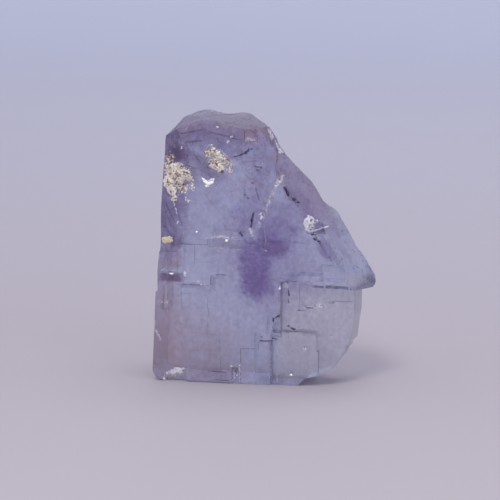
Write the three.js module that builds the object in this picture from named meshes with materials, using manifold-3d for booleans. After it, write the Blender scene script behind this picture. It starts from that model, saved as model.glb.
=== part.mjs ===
// A fluorite specimen: one cleaved, stepped crystal with three small crusts of pale matrix on it.
// Millimetres, +Z up. The broad cube face looks towards -Y, and the crystal stands on z = 0.
import * as THREE from "three";
import { mergeVertices } from "three/addons/utils/BufferGeometryUtils.js";
import Module from "manifold-3d";

const wasm = await Module();
wasm.setup();

// Driving sizes
const HEIGHT = 34; // foot to the broken top
const FRONT = -6; // the broad cube face
const BACK = 6;
const LEFT = -14.5;
const STEM_RIGHT = 2.4; // right side of the full-depth part below the overhang
const TIP = 14.6;
const OVERHANG = 12.85; // underside of the pointed upper part
const THIN_FRONT = -4.2; // the thinner lower right part
const THIN_BACK = 1.2;
const WINDOW_DEPTH = FRONT + 0.7; // floor of the large recess that holds the crusts
const SPARE = 3; // how far a cutter reaches past what it cuts
const OVERLAP = 1; // how far joined parts of the growth run into each other
const HAIR = 0.01; // keeps two cutters' faces from lying in one plane
const CUTTER_THICKNESS = 20;
const BEVEL_POINT = [6.12, -2.2, 25.2]; // on the ridge between the long front and back bevels
const ALONG_RIDGE = [0.59, 0.11, -0.8];
const MATRIX_GAP = 0.3; // room left between the crystal and a matrix crust

// Colours and finishes
const fluoriteFinish = new THREE.MeshStandardMaterial({
  color: 0x8f8fbd,
  roughness: 0.15,
  metalness: 0,
  transparent: true,
  opacity: 0.75,
});
const matrixFinish = new THREE.MeshStandardMaterial({ color: 0xd9c8b8, roughness: 0.9, metalness: 0 });
const ochreFinish = new THREE.MeshStandardMaterial({ color: 0xd9bf86, roughness: 0.85, metalness: 0 });

// Turns a closed geometry into a solid that can be joined and cut.
function solidOf(geometry) {
  const bare = new THREE.BufferGeometry();
  const source = geometry.index ? geometry.toNonIndexed() : geometry;
  bare.setAttribute("position", source.getAttribute("position"));
  const merged = mergeVertices(bare, 1e-4);
  const vertProperties = merged.getAttribute("position").array;
  const triVerts = new Uint32Array(merged.index.array);
  return new wasm.Manifold(new wasm.Mesh({ numProp: 3, vertProperties, triVerts }));
}

// Turns a solid into a named mesh.
function meshOf(name, solid, material) {
  const { vertProperties, triVerts, numProp, numVert } = solid.getMesh();
  const positions = new Float32Array(numVert * 3);
  for (let i = 0; i < numVert; i++) {
    positions.set(vertProperties.subarray(i * numProp, i * numProp + 3), i * 3);
  }
  const geometry = new THREE.BufferGeometry();
  geometry.setAttribute("position", new THREE.BufferAttribute(positions, 3));
  geometry.setIndex(new THREE.BufferAttribute(triVerts, 1));
  const mesh = new THREE.Mesh(geometry, material);
  mesh.name = name;
  return mesh;
}

// A box between two corners.
function box(low, high) {
  const size = high.map((value, i) => value - low[i]);
  const middle = high.map((value, i) => (value + low[i]) / 2);
  return solidOf(new THREE.BoxGeometry(...size).translate(...middle));
}

// An outline drawn on the broad face, as [x, z] points, running back from one depth to another.
function plate(outline, front, back) {
  const shape = new THREE.Shape(outline.map(([x, z]) => new THREE.Vector2(x, z)));
  const geometry = new THREE.ExtrudeGeometry(shape, { depth: back - front, bevelEnabled: false });
  return solidOf(geometry.rotateX(Math.PI / 2).translate(0, back, 0));
}

// A cutter that sinks into the broad face to its own depth at each corner of an outline.
function slopingCut(outline, depths) {
  const shape = new THREE.Shape(outline.map(([x, z]) => new THREE.Vector2(x, z)));
  const geometry = new THREE.ExtrudeGeometry(shape, { depth: 1, bevelEnabled: false });
  geometry.rotateX(Math.PI / 2);
  const place = geometry.getAttribute("position");
  for (let i = 0; i < place.count; i++) {
    const corner = outline.findIndex(
      ([x, z]) => Math.abs(x - place.getX(i)) < 1e-4 && Math.abs(z - place.getZ(i)) < 1e-4,
    );
    place.setY(i, place.getY(i) < -0.5 ? FRONT - SPARE : FRONT + depths[corner]);
  }
  return solidOf(geometry);
}

// What lies outside a broken or cleaved surface. The surface passes through point, faces along
// normal, and rises by relief(u, v), where u runs along the direction across and v up the surface.
function outside({ point, normal, across, reach, cells, relief }) {
  const w = new THREE.Vector3(...normal).normalize();
  const u = new THREE.Vector3(...across);
  u.addScaledVector(w, -u.dot(w)).normalize();
  const v = new THREE.Vector3().crossVectors(w, u);
  const block = new THREE.BoxGeometry(...reach, CUTTER_THICKNESS, ...cells, 1);
  block.translate(0, 0, CUTTER_THICKNESS / 2);
  const place = block.getAttribute("position");
  for (let i = 0; i < place.count; i++) {
    if (place.getZ(i) < CUTTER_THICKNESS / 2) {
      place.setZ(i, relief(place.getX(i), place.getY(i)));
    }
  }
  const frame = new THREE.Matrix4().makeBasis(u, v, w).setPosition(...point);
  return solidOf(block.applyMatrix4(frame));
}

// Relief made of round swells, given as [u, v, half width, half height, rise].
function swells(list) {
  return (u, v) => {
    let rise = 0;
    for (const [cu, cv, ru, rv, height] of list) {
      rise += height * Math.exp(-(((u - cu) / ru) ** 2) - ((v - cv) / rv) ** 2);
    }
    return rise;
  };
}

// The rings of a shell-like break, spreading from the point where it was struck.
function shellRings([cu, cv], spacing, rise) {
  return (u, v) => {
    const away = Math.hypot(u - cu, v - cv);
    return rise * Math.cos((2 * Math.PI * away) / spacing) * Math.exp(-away / (6 * spacing));
  };
}

const sum = (...reliefs) => (u, v) => reliefs.reduce((total, relief) => total + relief(u, v), 0);
const joined = (solids) => solids.reduce((whole, solid) => whole.add(solid));
const cutBy = (solid, cutters) => cutters.reduce((left, cutter) => left.subtract(cutter), solid);

// The cube-shaped growth that the crystal was broken from
function growth() {
  const top = HEIGHT + SPARE;
  const inStem = STEM_RIGHT - OVERLAP;
  const stem = box([LEFT, FRONT, 0], [STEM_RIGHT, BACK, top]);
  const overhang = plate(
    [
      [inStem, OVERHANG + 0.65],
      [6.45, OVERHANG + 0.65],
      [6.45, OVERHANG],
      [TIP, OVERHANG - 0.25],
      [TIP, top],
      [inStem, top],
    ],
    FRONT,
    BACK,
  );
  const thinPart = plate(
    [
      [inStem, 0],
      [4.5, 0],
      [5.1, 0.2],
      [6.3, 0.85],
      [7.7, 1.25],
      [8.9, 1.75],
      [9.55, 2.8],
      [10.15, 4.1],
      [10.55, 5.45],
      [11.1, 5.6],
      [11.3, 7.4],
      [11.6, 9.3],
      [11.65, OVERHANG + OVERLAP],
      [inStem, OVERHANG + OVERLAP],
    ],
    THIN_FRONT - OVERLAP,
    THIN_BACK,
  );
  return joined([stem, overhang, thinPart]);
}

// Broken and cleaved surfaces
function brokenTop() {
  const humps = swells([
    [-10, 6, 2.3, 5.5, 0.75],
    [-4.7, 5.5, 1.4, 4.5, 0.4],
    [-7.2, -6, 2.6, 6, 0.5],
    [-13.4, -6.5, 2.6, 8.5, -1.8],
    [-2, -6.5, 3.2, 5, -0.62],
  ]);
  return outside({
    point: [0, 0, HEIGHT - 0.6],
    normal: [0, 0, 1],
    across: [1, 0, 0],
    reach: [34, 16],
    cells: [42, 16],
    relief: sum(humps, shellRings([-0.5, -7], 1.9, 0.08)),
  });
}

// The two front bevels meet in an inward bend, so only what lies outside both is taken away.
function frontBevels() {
  const steep = outside({
    point: [1.9, FRONT, 27.4],
    normal: [0.684, -0.722, 0.104],
    across: [0, 0, 1],
    reach: [44, 30],
    cells: [22, 10],
    relief: swells([[1.5, -1, 1.3, 2.5, 0.12], [3.8, 0, 1.2, 3, -0.1]]),
  });
  const long = outside({
    point: BEVEL_POINT,
    normal: [0.717, -0.526, 0.458],
    across: ALONG_RIDGE,
    reach: [40, 24],
    cells: [36, 10],
    relief: swells([
      [2.2, -1.5, 1.2, 2.4, -0.08],
      [4.8, -1.5, 1.3, 2.6, 0.1],
      [8.2, -2.5, 1.6, 2, -0.08],
    ]),
  });
  return steep.intersect(long);
}

function backBevel() {
  return outside({
    point: BEVEL_POINT,
    normal: [0.72, 0.29, 0.6],
    across: ALONG_RIDGE,
    reach: [44, 34],
    cells: [44, 14],
    relief: sum(
      swells([
        [-5.6, 0, 2.4, 5, -0.6],
        [2.1, 0, 0.9, 5, -0.3],
        [4.3, 0, 1.2, 5, 0.32],
        [10, 0, 2.4, 6, -0.6],
        [12.5, 0, 0.8, 4, 0.2],
        [14.6, 0, 1.3, 4, -0.5],
        [4, 9, 5, 3, -0.5],
        [-4, 8, 2.5, 3, 0.25],
      ]),
      shellRings([9, 8], 2.6, 0.1),
    ),
  });
}

function backLeftCorner() {
  return outside({
    point: [-12.9, BACK - 0.2, 26],
    normal: [-0.62, 0.76, 0.2],
    across: [0, 0, 1],
    reach: [20, 14],
    cells: [10, 6],
    relief: swells([[0, 0, 3, 3, 0.25], [5, 1, 3, 3, -0.25]]),
  });
}

function leftSide() {
  const straight = () => 0;
  const lower = outside({
    point: [-14.28, 0, 5],
    normal: [-1, 0, 0.045],
    across: [0, 1, 0],
    reach: [20, 44],
    cells: [1, 1],
    relief: straight,
  });
  const upper = outside({
    point: [-13.06, 0, 26],
    normal: [-1, 0, 0.066],
    across: [0, 1, 0],
    reach: [20, 24],
    cells: [10, 12],
    relief: swells([[-3, 2, 3, 4, 0.12], [3, -4, 2.5, 4, -0.15], [-4, 8, 3, 3, -0.2]]),
  });
  const ledge = box([LEFT - SPARE, FRONT - SPARE, 11.6], [-13.72, 1.2, 14.2]);
  const rearLedge = box([LEFT - SPARE, 1.1, 8.4], [-13.78, BACK + SPARE, 14.2]);
  const footCorner = plate(
    [
      [LEFT - SPARE, -SPARE],
      [-13.6, -SPARE],
      [-13.6, 0.05],
      [-14.15, 0.55],
      [-14.42, 1.2],
      [LEFT - SPARE, 1.2],
    ],
    FRONT - SPARE,
    BACK + SPARE,
  );
  return [lower, upper, ledge, rearLedge, footCorner];
}

function brokenTip() {
  const flutes = (u, v) => 0.11 * Math.cos((2 * Math.PI * (u + 0.06 * v * v)) / 0.56);
  const fluted = outside({
    point: [13.1, -2.3, 13.9],
    normal: [0.8, -0.46, 0.38],
    across: [0.5, 0.86, 0],
    reach: [8, 8],
    cells: [72, 8],
    relief: flutes,
  });
  const end = outside({
    point: [14.05, -1.3, 13.6],
    normal: [0.86, 0.49, -0.15],
    across: [-0.5, 0.87, 0],
    reach: [16, 10],
    cells: [20, 10],
    relief: swells([[1.6, 0, 1, 2, 0.18], [4, -1, 1.4, 2, -0.2]]),
  });
  return [fluted, end];
}

// Steps of the broad face
function frontSteps() {
  const out = FRONT - SPARE;
  const window = plate(
    [
      [LEFT - SPARE, 16.8],
      [-11.1, 16.8],
      [-11.1, 17.85],
      [-7.2, 17.85],
      [-7.2, 18.7],
      [-2.3, 18.7],
      [-2, 18.2],
      [-0.6, 18.2],
      [-0.45, 17.7],
      [0.6, 17.7],
      [0.3, 19.5],
      [0.1, 21.4],
      [0.55, 23.3],
      [1.3, 25.2],
      [2, 26.6],
      [1.7, 28],
      [3, HEIGHT + SPARE],
      [LEFT - SPARE, HEIGHT + SPARE],
    ],
    out,
    WINDOW_DEPTH,
  );
  const windowSill = slopingCut(
    [[-7.2, 17.3], [-2, 17.3], [-2, 18.75], [-7.2, 18.75]],
    [0.02, 0.02, 0.7, 0.7],
  );
  const thinPartUpper = plate(
    [
      [2.42, 13.5],
      [2.38, 8.85],
      [1.65, 8.55],
      [1.3, 6.9],
      [6.85, 6.9],
      [7.15, 6.2],
      [7.15, 4.5],
      [TIP, 4.5],
      [TIP, OVERHANG - 0.25 - HAIR],
      [6.45, OVERHANG - HAIR],
      [6.45, 13.5],
    ],
    out,
    THIN_FRONT,
  );
  const thinPartFoot = slopingCut(
    [[7.15, 4.5 + HAIR], [7.15, -SPARE], [TIP, -SPARE], [TIP, 4.5 + HAIR]],
    [1.8, 0.8, 1.4, 1.8],
  );
  const ledgeLeft = plate(
    [[1.8, -SPARE], [2.5, -SPARE], [2.5, 6.95], [1.25, 6.95], [1.25, 5.7], [1.8, 5.7]],
    out,
    FRONT + 0.8,
  );
  const column = plate(
    [[-2.8, -SPARE], [1.1, -SPARE], [1.1, 5.65], [-0.45, 5.65], [-0.45, 4.6], [-2.8, 4.6]],
    out,
    FRONT + 0.3,
  );
  const groove = box([1, out, -SPARE], [1.85, FRONT + 1, 5.75]);
  const terrace = plate(
    [
      [4.4, 13.4],
      [4.4, 13.8],
      [5.4, 15],
      [7.6, 15.2],
      [7.85, 15.9],
      [10.8, 15.6],
      [TIP + SPARE, 15.6],
      [TIP + SPARE, 13.4],
    ],
    out,
    FRONT + 0.25,
  );
  const terraceLow = box([6.4, out, 12], [TIP + SPARE, FRONT + 0.25, 13.45]);
  const belowPlateau = slopingCut(
    [
      [-10.6, 12.6],
      [-10.6, 8],
      [-3.4, 8],
      [-3.4, 14.1],
      [-5.8, 14.1],
      [-5.8, 13.9],
      [-6.7, 13.9],
      [-6.7, 12.6],
    ],
    [0.3, 0.01, 0.01, 0.02, 0.3, 0.3, 0.3, 0.35],
  );
  const plateauLeft = slopingCut(
    [[-8.8, 17.85 - HAIR], [-8.8, 13], [-7.05, 13], [-7.05, 17.85 - HAIR]],
    [0.16, 0.01, 0.1, 0.2],
  );
  const leftStrip = slopingCut(
    [[LEFT - SPARE, 16.9], [LEFT - SPARE, 14.2], [-11.1, 14.2], [-11.1, 16.9]],
    [0.5, 0.45, 0.25, 0.3],
  );
  const smallSteps = plate(
    [
      [4.5, 9.6],
      [5.4, 9.6],
      [5.4, 10],
      [6.4, 10],
      [6.4, 10.35],
      [7.7, 10.35],
      [7.7, 10.7],
      [9, 10.7],
      [9, 10.95],
      [TIP, 10.95],
      [TIP, OVERHANG - 0.25 - 2 * HAIR],
      [4.5, OVERHANG - 2 * HAIR],
    ],
    out,
    THIN_FRONT + 0.22,
  );
  return [
    window,
    windowSill,
    thinPartUpper,
    thinPartFoot,
    ledgeLeft,
    column,
    groove,
    terrace,
    terraceLow,
    belowPlateau,
    plateauLeft,
    leftStrip,
    smallSteps,
  ];
}

// Small chips, pits and edges
function chips() {
  const flat = () => 0;
  const facet = (point, normal, across, reach, relief = flat, cells = [1, 1]) =>
    outside({ point, normal, across, reach, cells, relief });
  const shell = shellRings([0, -1.2], 0.8, 0.04);
  return [
    facet([6.2, FRONT + 0.3, 21], [0.75, -0.62, -0.2], [0, 0, 1], [2.4, 4]),
    facet([-11.5, FRONT + 0.35, 0.85], [0.1, -0.62, -0.78], [1, 0, 0], [2.8, 2.4], shell, [8, 6]),
    facet([-7.7, FRONT + 0.15, 0.12], [0, -0.55, -0.83], [1, 0, 0], [12.4, 2]),
    facet([-14.1, FRONT + 0.1, 6.9], [-0.72, -0.68, 0.1], [0, 0, 1], [1.9, 2]),
    box([-3.95, FRONT - SPARE, -SPARE], [-3.1, FRONT + 0.75, 2.2]),
    box([-2.45, FRONT - SPARE, 31.2], [-0.75, FRONT + 1.05, 32.6]),
  ];
}

// Steps of the back, each an outline and how deep it is cut
function backSteps() {
  const far = LEFT - SPARE;
  const top = HEIGHT + SPARE;
  const steps = [
    [[[far, -SPARE], [-7.4, -SPARE], [-7.4, 4.6], [-9.1, 4.6], [-9.1, 9.7], [far, 9.7]], 0.55],
    [[[-2.6, -SPARE], [TIP, -SPARE], [TIP, 7.8], [-0.9, 7.8], [-0.9, 5.2], [-2.6, 5.2]], 1.5],
    [[[-4.1, 17.3], [TIP, 17.3], [TIP, top], [-1.8, top], [-1.8, 24.4], [-4.1, 24.4]], 0.8],
    [[[-12.2, 14.2], [-8.3, 14.2], [-8.3, 19.1], [-6.4, 19.1], [-6.4, 22.2], [-12.2, 22.2]], 0.35],
    [[[0.6, 9.8], [TIP, 9.8], [TIP, 14.9], [2.4, 14.9], [2.4, 12.9], [0.6, 12.9]], 0.6],
    [
      [[0.3, -SPARE], [TIP, -SPARE], [TIP, 12.4], [1.5, 12.4], [1.5, 5.3], [0.3, 5.3]],
      BACK - THIN_BACK - HAIR,
    ],
  ];
  return steps.map(([outline, depth]) => plate(outline, BACK - depth, BACK + SPARE));
}

const TURN = [1.3, 0.7]; // radians that each grain is turned beyond the last, about X and Y
const FLATTENING = 0.75;
const UNEVENNESS = 0.12; // how far grains stand in or out
const WAVE = 2.1; // radians of that wave from one grain to the next

// A lumpy crust of matrix: faceted grains at [x, z, radius], flattened against the face.
function crust(grains, depth, swell) {
  const lumps = grains.map(([x, z, radius], i) => {
    const grain = new THREE.DodecahedronGeometry(radius + swell, 0);
    grain.rotateX(i * TURN[0]).rotateY(i * TURN[1]).scale(1, FLATTENING, 1);
    return solidOf(grain.translate(x, depth + UNEVENNESS * Math.sin(i * WAVE), z));
  });
  return joined(lumps);
}

const LEFT_GRAINS = [
  [-12.1, 28, 0.62],
  [-11.4, 27.2, 0.72],
  [-12, 26.5, 0.7],
  [-10.8, 26.6, 0.66],
  [-10.1, 27.3, 0.62],
  [-9.9, 26.5, 0.52],
  [-11.4, 25.7, 0.7],
  [-10.4, 25.7, 0.5],
  [-12.1, 25, 0.62],
  [-11.5, 24.5, 0.52],
  [-9.6, 25.6, 0.36],
];
const UPPER_GRAINS = [
  [-6.5, 29.6, 0.55],
  [-5.8, 29.1, 0.62],
  [-5.9, 28.2, 0.66],
  [-5.1, 28.1, 0.55],
  [-5.6, 27.4, 0.58],
  [-4.4, 28.4, 0.46],
  [-4.5, 27.6, 0.42],
  [-6.3, 28.8, 0.4],
];
const OCHRE_GRAINS = [
  [-12.45, 17.75, 0.5],
  [-11.85, 17.8, 0.42],
];

const crusts = [
  ["matrix_crust_left", LEFT_GRAINS, matrixFinish],
  ["matrix_crust_upper", UPPER_GRAINS, matrixFinish],
  ["matrix_grain_ochre", OCHRE_GRAINS, ochreFinish],
];

const sockets = crusts.map(([, grains]) => crust(grains, WINDOW_DEPTH, MATRIX_GAP));
const crystal = cutBy(growth(), [
  brokenTop(),
  frontBevels(),
  backBevel(),
  backLeftCorner(),
  ...leftSide(),
  ...brokenTip(),
  ...frontSteps(),
  ...backSteps(),
  ...chips(),
  ...sockets,
]);

const specimen = new THREE.Group();
specimen.add(meshOf("fluorite_crystal", crystal, fluoriteFinish));
for (const [name, grains, finish] of crusts) {
  specimen.add(meshOf(name, crust(grains, WINDOW_DEPTH, 0), finish));
}

// The origin is the middle of the foot of the bounding box.
const bounds = new THREE.Box3().setFromObject(specimen);
const middle = bounds.getCenter(new THREE.Vector3());
specimen.position.set(-middle.x, -middle.y, -bounds.min.z);

export default specimen;
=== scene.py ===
"""A cleaved fluorite specimen with crusts of pale matrix, on a plain pale surface."""

import math
import random

import bmesh
import bpy
import numpy as np
from bpy.props import FloatProperty, FloatVectorProperty, PointerProperty
from mathutils import Matrix, Vector
from mathutils.bvhtree import BVHTree


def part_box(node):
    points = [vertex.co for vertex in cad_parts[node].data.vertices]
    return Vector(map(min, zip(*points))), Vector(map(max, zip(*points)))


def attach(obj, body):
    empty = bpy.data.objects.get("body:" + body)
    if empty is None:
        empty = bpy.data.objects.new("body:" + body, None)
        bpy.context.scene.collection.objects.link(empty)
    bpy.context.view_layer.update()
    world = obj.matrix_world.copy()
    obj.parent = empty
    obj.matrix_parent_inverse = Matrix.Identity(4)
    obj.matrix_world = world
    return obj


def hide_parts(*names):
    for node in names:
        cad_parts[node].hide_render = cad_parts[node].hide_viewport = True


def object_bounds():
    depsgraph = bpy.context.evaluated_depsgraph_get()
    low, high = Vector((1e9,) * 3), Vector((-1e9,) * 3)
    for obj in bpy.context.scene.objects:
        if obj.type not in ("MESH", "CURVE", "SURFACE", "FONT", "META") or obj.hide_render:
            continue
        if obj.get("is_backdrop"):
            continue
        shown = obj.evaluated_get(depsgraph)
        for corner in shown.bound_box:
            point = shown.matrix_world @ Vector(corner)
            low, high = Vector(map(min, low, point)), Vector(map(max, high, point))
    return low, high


bl_info = {
    "name": "Fluorite specimen", "version": (1, 0, 0), "blender": (4, 5, 0),
    "location": "View3D > Sidebar > Specimen",
    "description": "Makes a cleaved fluorite crystal, its crusts of matrix and a plain stage",
    "category": "Add Mesh",
}

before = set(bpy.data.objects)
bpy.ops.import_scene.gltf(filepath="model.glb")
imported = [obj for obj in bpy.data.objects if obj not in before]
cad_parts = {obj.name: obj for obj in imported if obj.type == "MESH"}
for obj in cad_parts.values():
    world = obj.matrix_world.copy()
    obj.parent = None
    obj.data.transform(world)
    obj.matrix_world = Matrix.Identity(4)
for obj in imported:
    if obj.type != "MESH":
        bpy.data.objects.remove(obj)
CAD_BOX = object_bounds()

MM = 0.001
CAMERA_AZIMUTH = math.radians(13)
CAMERA_ELEVATION = math.radians(9)
PHOTO_WIDTH = 500  # pixels
PHOTO_MIDDLE = (-22, -11)  # its place from the aimed point, in pixels to the right and up
PIXEL = 0.129 * MM  # what one pixel of the photo spans at the specimen
GAP = 0.00003  # between the specimen and the surface it stands on

# The crystal's own sizes, in millimetres. The broad face looks towards -Y.
HEIGHT = 34.0
FRONT = -6.0
BACK = 6.0
LEFT = -14.5
LEFTMOST = -14.451  # where the left side stands out furthest
STEM_RIGHT = 2.4
TIP = 14.6
OVERHANG = 12.85
THIN_FRONT = -4.2
THIN_BACK = 1.2
SPARE = 3.0
FRONT_WEAR = 0.06  # how far the etched front lies behind its highest shards
WINDOW = FRONT + 0.7  # depth of the large recess that holds the crusts
# How far the frame's origin lies from the crystal's own zero.
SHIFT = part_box("fluorite_crystal")[0].x / MM - LEFTMOST
# The two ways across a plane that faces the camera, for what the outline alone shows.
TO_THE_RIGHT = np.array((0.974, 0.225, 0.0))
UPWARDS = np.array((-0.035, 0.152, 0.988))
BEVEL_POINT = (6.12, -2.2, 25.2)
FROSTED_BEHIND = 1.0  # flat cleavages that lie behind this are frosted
# Wider scratches take the shaded finish, narrower ones the dim: both are painted shade.
WIDE_SCRATCH = 0.15  # a scratch wider than this looks darker
SHARD_THICKNESS = 0.05
FLUORITE_IOR = 1.434
ALONG_RIDGE = (0.59, 0.11, -0.8)

# How a surface was made, or what it is painted with: each is a material slot while the crystal is cut.
# SHADED and DIM paint shade; CRACKED paints the shade in cracks; GLINT paints a pale highlight; CHIPPED
# paints pale chips, in part painted sparkle.
CLEAVED, BROKEN, CHIPPED, CRACKED, GLINT, ETCHED, SHADED, DIM = range(8)
FINISH_NAMES = ("cleaved", "broken", "chipped", "cracked", "glint", "etched", "shaded", "dim")

# Small flats tilted like this catch the lamp above, seen from the front.
GLINT_FACING = (0.1, -0.855, 0.51)


# Numbers and noise

def unit(vector):
    return np.asarray(vector, float) / np.linalg.norm(vector)


def lattice(seed, size=64):
    return np.random.default_rng(seed).uniform(-1, 1, (size, size))


def smooth_noise(u, v, cell, seed):
    """Soft bumps of about the size cell, from -1 to 1."""
    table = lattice(seed)
    size = table.shape[0]
    x, y = u / cell + 1000.0, v / cell + 1000.0
    i, j = np.floor(x).astype(int), np.floor(y).astype(int)
    s, t = x - i, y - j
    s, t = s * s * (3 - 2 * s), t * t * (3 - 2 * t)

    def at(di, dj):
        return table[(i + di) % size, (j + dj) % size]

    near = at(0, 0) * (1 - s) + at(1, 0) * s
    far = at(0, 1) * (1 - s) + at(1, 1) * s
    return near * (1 - t) + far * t


def grain(cell, rise, seed, octaves=3):
    """Fine broken relief, as a function of place."""
    def relief(u, v):
        total = np.zeros_like(u)
        for k in range(octaves):
            total += rise / 2**k * smooth_noise(u, v, cell / 2**k, seed + k)
        return total
    return relief


def terraced(cell, rise, seed):
    """Low flat terraces with soft edges, as etching leaves them."""
    def relief(u, v):
        soft = smooth_noise(u, v, cell, seed) + 0.4 * smooth_noise(u, v, cell / 3, seed + 1)
        level = 2.5 * soft
        step = np.floor(level)
        rest = np.clip((level - step) * 4, 0, 1)
        return rise * (step + rest) / 2.5 + 0.12 * rise * smooth_noise(u, v, cell / 5, seed + 2)
    return relief


def swells(rows):
    """Round swells, given as (u, v, half width, half height, rise)."""
    def relief(u, v):
        total = np.zeros_like(u)
        for cu, cv, ru, rv, rise in rows:
            total += rise * np.exp(-(((u - cu) / ru) ** 2) - ((v - cv) / rv) ** 2)
        return total
    return relief


def shell_rings(centre, spacing, rise, fade=6.0, wobble=0.0, seed=1):
    """The rings of a shell-like break, spreading from the point where it was struck."""
    def relief(u, v):
        away = np.hypot(u - centre[0], v - centre[1])
        away = away + wobble * smooth_noise(u, v, 2.5, seed)
        return rise * np.cos(2 * math.pi * away / spacing) * np.exp(-away / (fade * spacing))
    return relief


def together(*reliefs):
    return lambda u, v: sum(relief(u, v) for relief in reliefs)


# Cutters and blocks, in millimetres

def closed_mesh(name, corners, faces, finish):
    mesh = bpy.data.meshes.new(name)
    mesh.from_pydata([tuple(c) for c in corners], [], faces)
    bm = bmesh.new()
    bm.from_mesh(mesh)
    bmesh.ops.recalc_face_normals(bm, faces=bm.faces)
    bm.to_mesh(mesh)
    bm.free()
    for finish_name in FINISH_NAMES:
        mesh.materials.append(
            bpy.data.materials.get(finish_name) or bpy.data.materials.new(finish_name)
        )
    mesh.polygons.foreach_set("material_index", [finish] * len(mesh.polygons))
    return bpy.data.objects.new(name, mesh)


def outside(name, point, normal, across, reach, cell, relief, finish=BROKEN, thick=20.0):
    """What lies beyond a broken or cleaved surface through point that faces along normal."""
    w = unit(normal)
    u = unit(np.asarray(across, float) - np.dot(across, w) * w)
    v = np.cross(w, u)
    steps = [max(1, math.ceil(length / cell)) for length in reach]
    us, vs = (np.linspace(-r / 2, r / 2, n + 1) for r, n in zip(reach, steps))
    gu, gv = np.meshgrid(us, vs, indexing="ij")
    rise = relief(gu, gv)
    grid = (
        np.asarray(point, float)
        + gu[..., None] * u
        + gv[..., None] * v
        + rise[..., None] * w
    ).reshape(-1, 3)
    nu, nv = steps
    index = np.arange((nu + 1) * (nv + 1)).reshape(nu + 1, nv + 1)
    faces = np.stack(
        [index[:-1, :-1], index[1:, :-1], index[1:, 1:], index[:-1, 1:]], -1
    ).reshape(-1, 4).tolist()
    tops = len(grid) + np.arange(4)
    lid = [
        np.asarray(point, float) + a * reach[0] / 2 * u + b * reach[1] / 2 * v + thick * w
        for a, b in ((-1, -1), (1, -1), (1, 1), (-1, 1))
    ]
    edges = (index[:, 0], index[-1, :], index[::-1, -1], index[0, ::-1])
    for k, edge in enumerate(edges):
        faces.append([*edge.tolist(), int(tops[(k + 1) % 4]), int(tops[k])])
    faces.append(tops.tolist())
    return closed_mesh(name, [*grid, *lid], faces, finish)


def plate(name, outline, front, back, finish=CLEAVED):
    """An outline on the broad face, as (x, z) points, running from one depth to another."""
    return sloping_plate(name, outline, [front] * len(outline), back, finish)


def sloping_plate(name, outline, fronts, back, finish=CLEAVED):
    corners = [(x, y, z) for (x, z), y in zip(outline, fronts)]
    corners += [(x, back, z) for x, z in outline]
    return prism(name, corners, finish)


def prism(name, corners, finish):
    """A closed solid between two outlines, given one after the other with as many corners."""
    count = len(corners) // 2
    faces = [list(range(count)), list(range(count, 2 * count))]
    for i in range(count):
        j = (i + 1) % count
        faces.append([i, j, count + j, count + i])
    return closed_mesh(name, corners, faces, finish)


def leaning_plate(name, outline, front, back, level):
    """A plate whose sides lean away from the camera, as outlined at the depth called level."""
    lean = -math.tan(CAMERA_AZIMUTH)
    corners = [(x + lean * (y - level), y, z) for y in (front, back) for x, z in outline]
    return prism(name, corners, CLEAVED)


def sloping_cut(name, outline, depths, finish=CLEAVED):
    """A cutter that sinks into the broad face to its own depth at each corner."""
    return sloping_plate(name, outline, [FRONT + d for d in depths], FRONT - SPARE, finish)


def block(name, low, high, finish=CLEAVED):
    outline = [(low[0], low[2]), (high[0], low[2]), (high[0], high[2]), (low[0], high[2])]
    return plate(name, outline, low[1], high[1], finish)


def combine(name, solid, others, operation):
    """Joins or cuts solid with others, keeping each surface's finish, and returns a new object."""
    bench = bpy.data.collections.new(name)
    bpy.context.scene.collection.children.link(bench)
    bpy.context.scene.collection.objects.link(solid)
    for other in others:
        bench.objects.link(other)
    modifier = solid.modifiers.new(name, "BOOLEAN")
    modifier.solver = "MANIFOLD"
    modifier.operation = operation
    modifier.material_mode = "TRANSFER"
    modifier.operand_type = "COLLECTION"
    modifier.collection = bench
    depsgraph = bpy.context.evaluated_depsgraph_get()
    mesh = bpy.data.meshes.new_from_object(solid.evaluated_get(depsgraph))
    for used in [solid, *others]:
        old = used.data
        bpy.data.objects.remove(used)
        bpy.data.meshes.remove(old)
    bpy.data.collections.remove(bench)
    return bpy.data.objects.new(name, mesh)


# The growth that the crystal was broken from

def growth():
    stem = block("stem", (LEFT, FRONT, 0), (STEM_RIGHT, BACK, HEIGHT + 2))
    overhang = plate(
        "overhang",
        [
            (STEM_RIGHT - 1, OVERHANG + 0.65), (6.45, OVERHANG + 0.65), (6.45, OVERHANG),
            (TIP, OVERHANG - 0.25), (TIP, HEIGHT + 2), (STEM_RIGHT - 1, HEIGHT + 2),
        ],
        FRONT, BACK,
    )
    overhang = combine("overhang", overhang, rounded_tip(), "DIFFERENCE")
    thin_part = plate(
        "thin_part",
        [
            (STEM_RIGHT - 1, 0), (4.5, 0), (4.8, 0.3), (5.6, 1.0), (6.3, 1.1), (7.6, 1.55),
            (8.8, 2.15), (9.15, 2.9), (9.75, 3.4), (10.1, 4.3), (10.4, 4.5), (10.55, 5.45),
            (11.1, 5.6), (11.3, 7.4), (11.6, 9.3), (11.65, OVERHANG + 1.2),
            (STEM_RIGHT - 1, OVERHANG + 1.2),
        ],
        THIN_FRONT - 1, THIN_BACK,
    )
    return combine("growth", stem, [overhang, thin_part], "UNION")


# Broken and cleaved surfaces

def broken_top():
    humps = swells([
        (-10, 6, 2.3, 5.5, 0.75),
        (-4.7, 5.5, 1.4, 4.5, 0.4),
        (-7.2, -6, 2.6, 6, 0.5),
        (-13.4, -6.5, 2.6, 8.5, -1.8),
        (-2, -6.5, 3.2, 5, -0.62),
    ])
    rings = shell_rings((-0.5, -7), 1.9, 0.08, wobble=0.5, seed=3)
    return outside(
        "broken_top", (0, 0, HEIGHT - 0.64), (0, 0, 1), (1, 0, 0), (32, 14), 0.16,
        together(humps, rings, grain(1.6, 0.06, 11)),
    )


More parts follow.
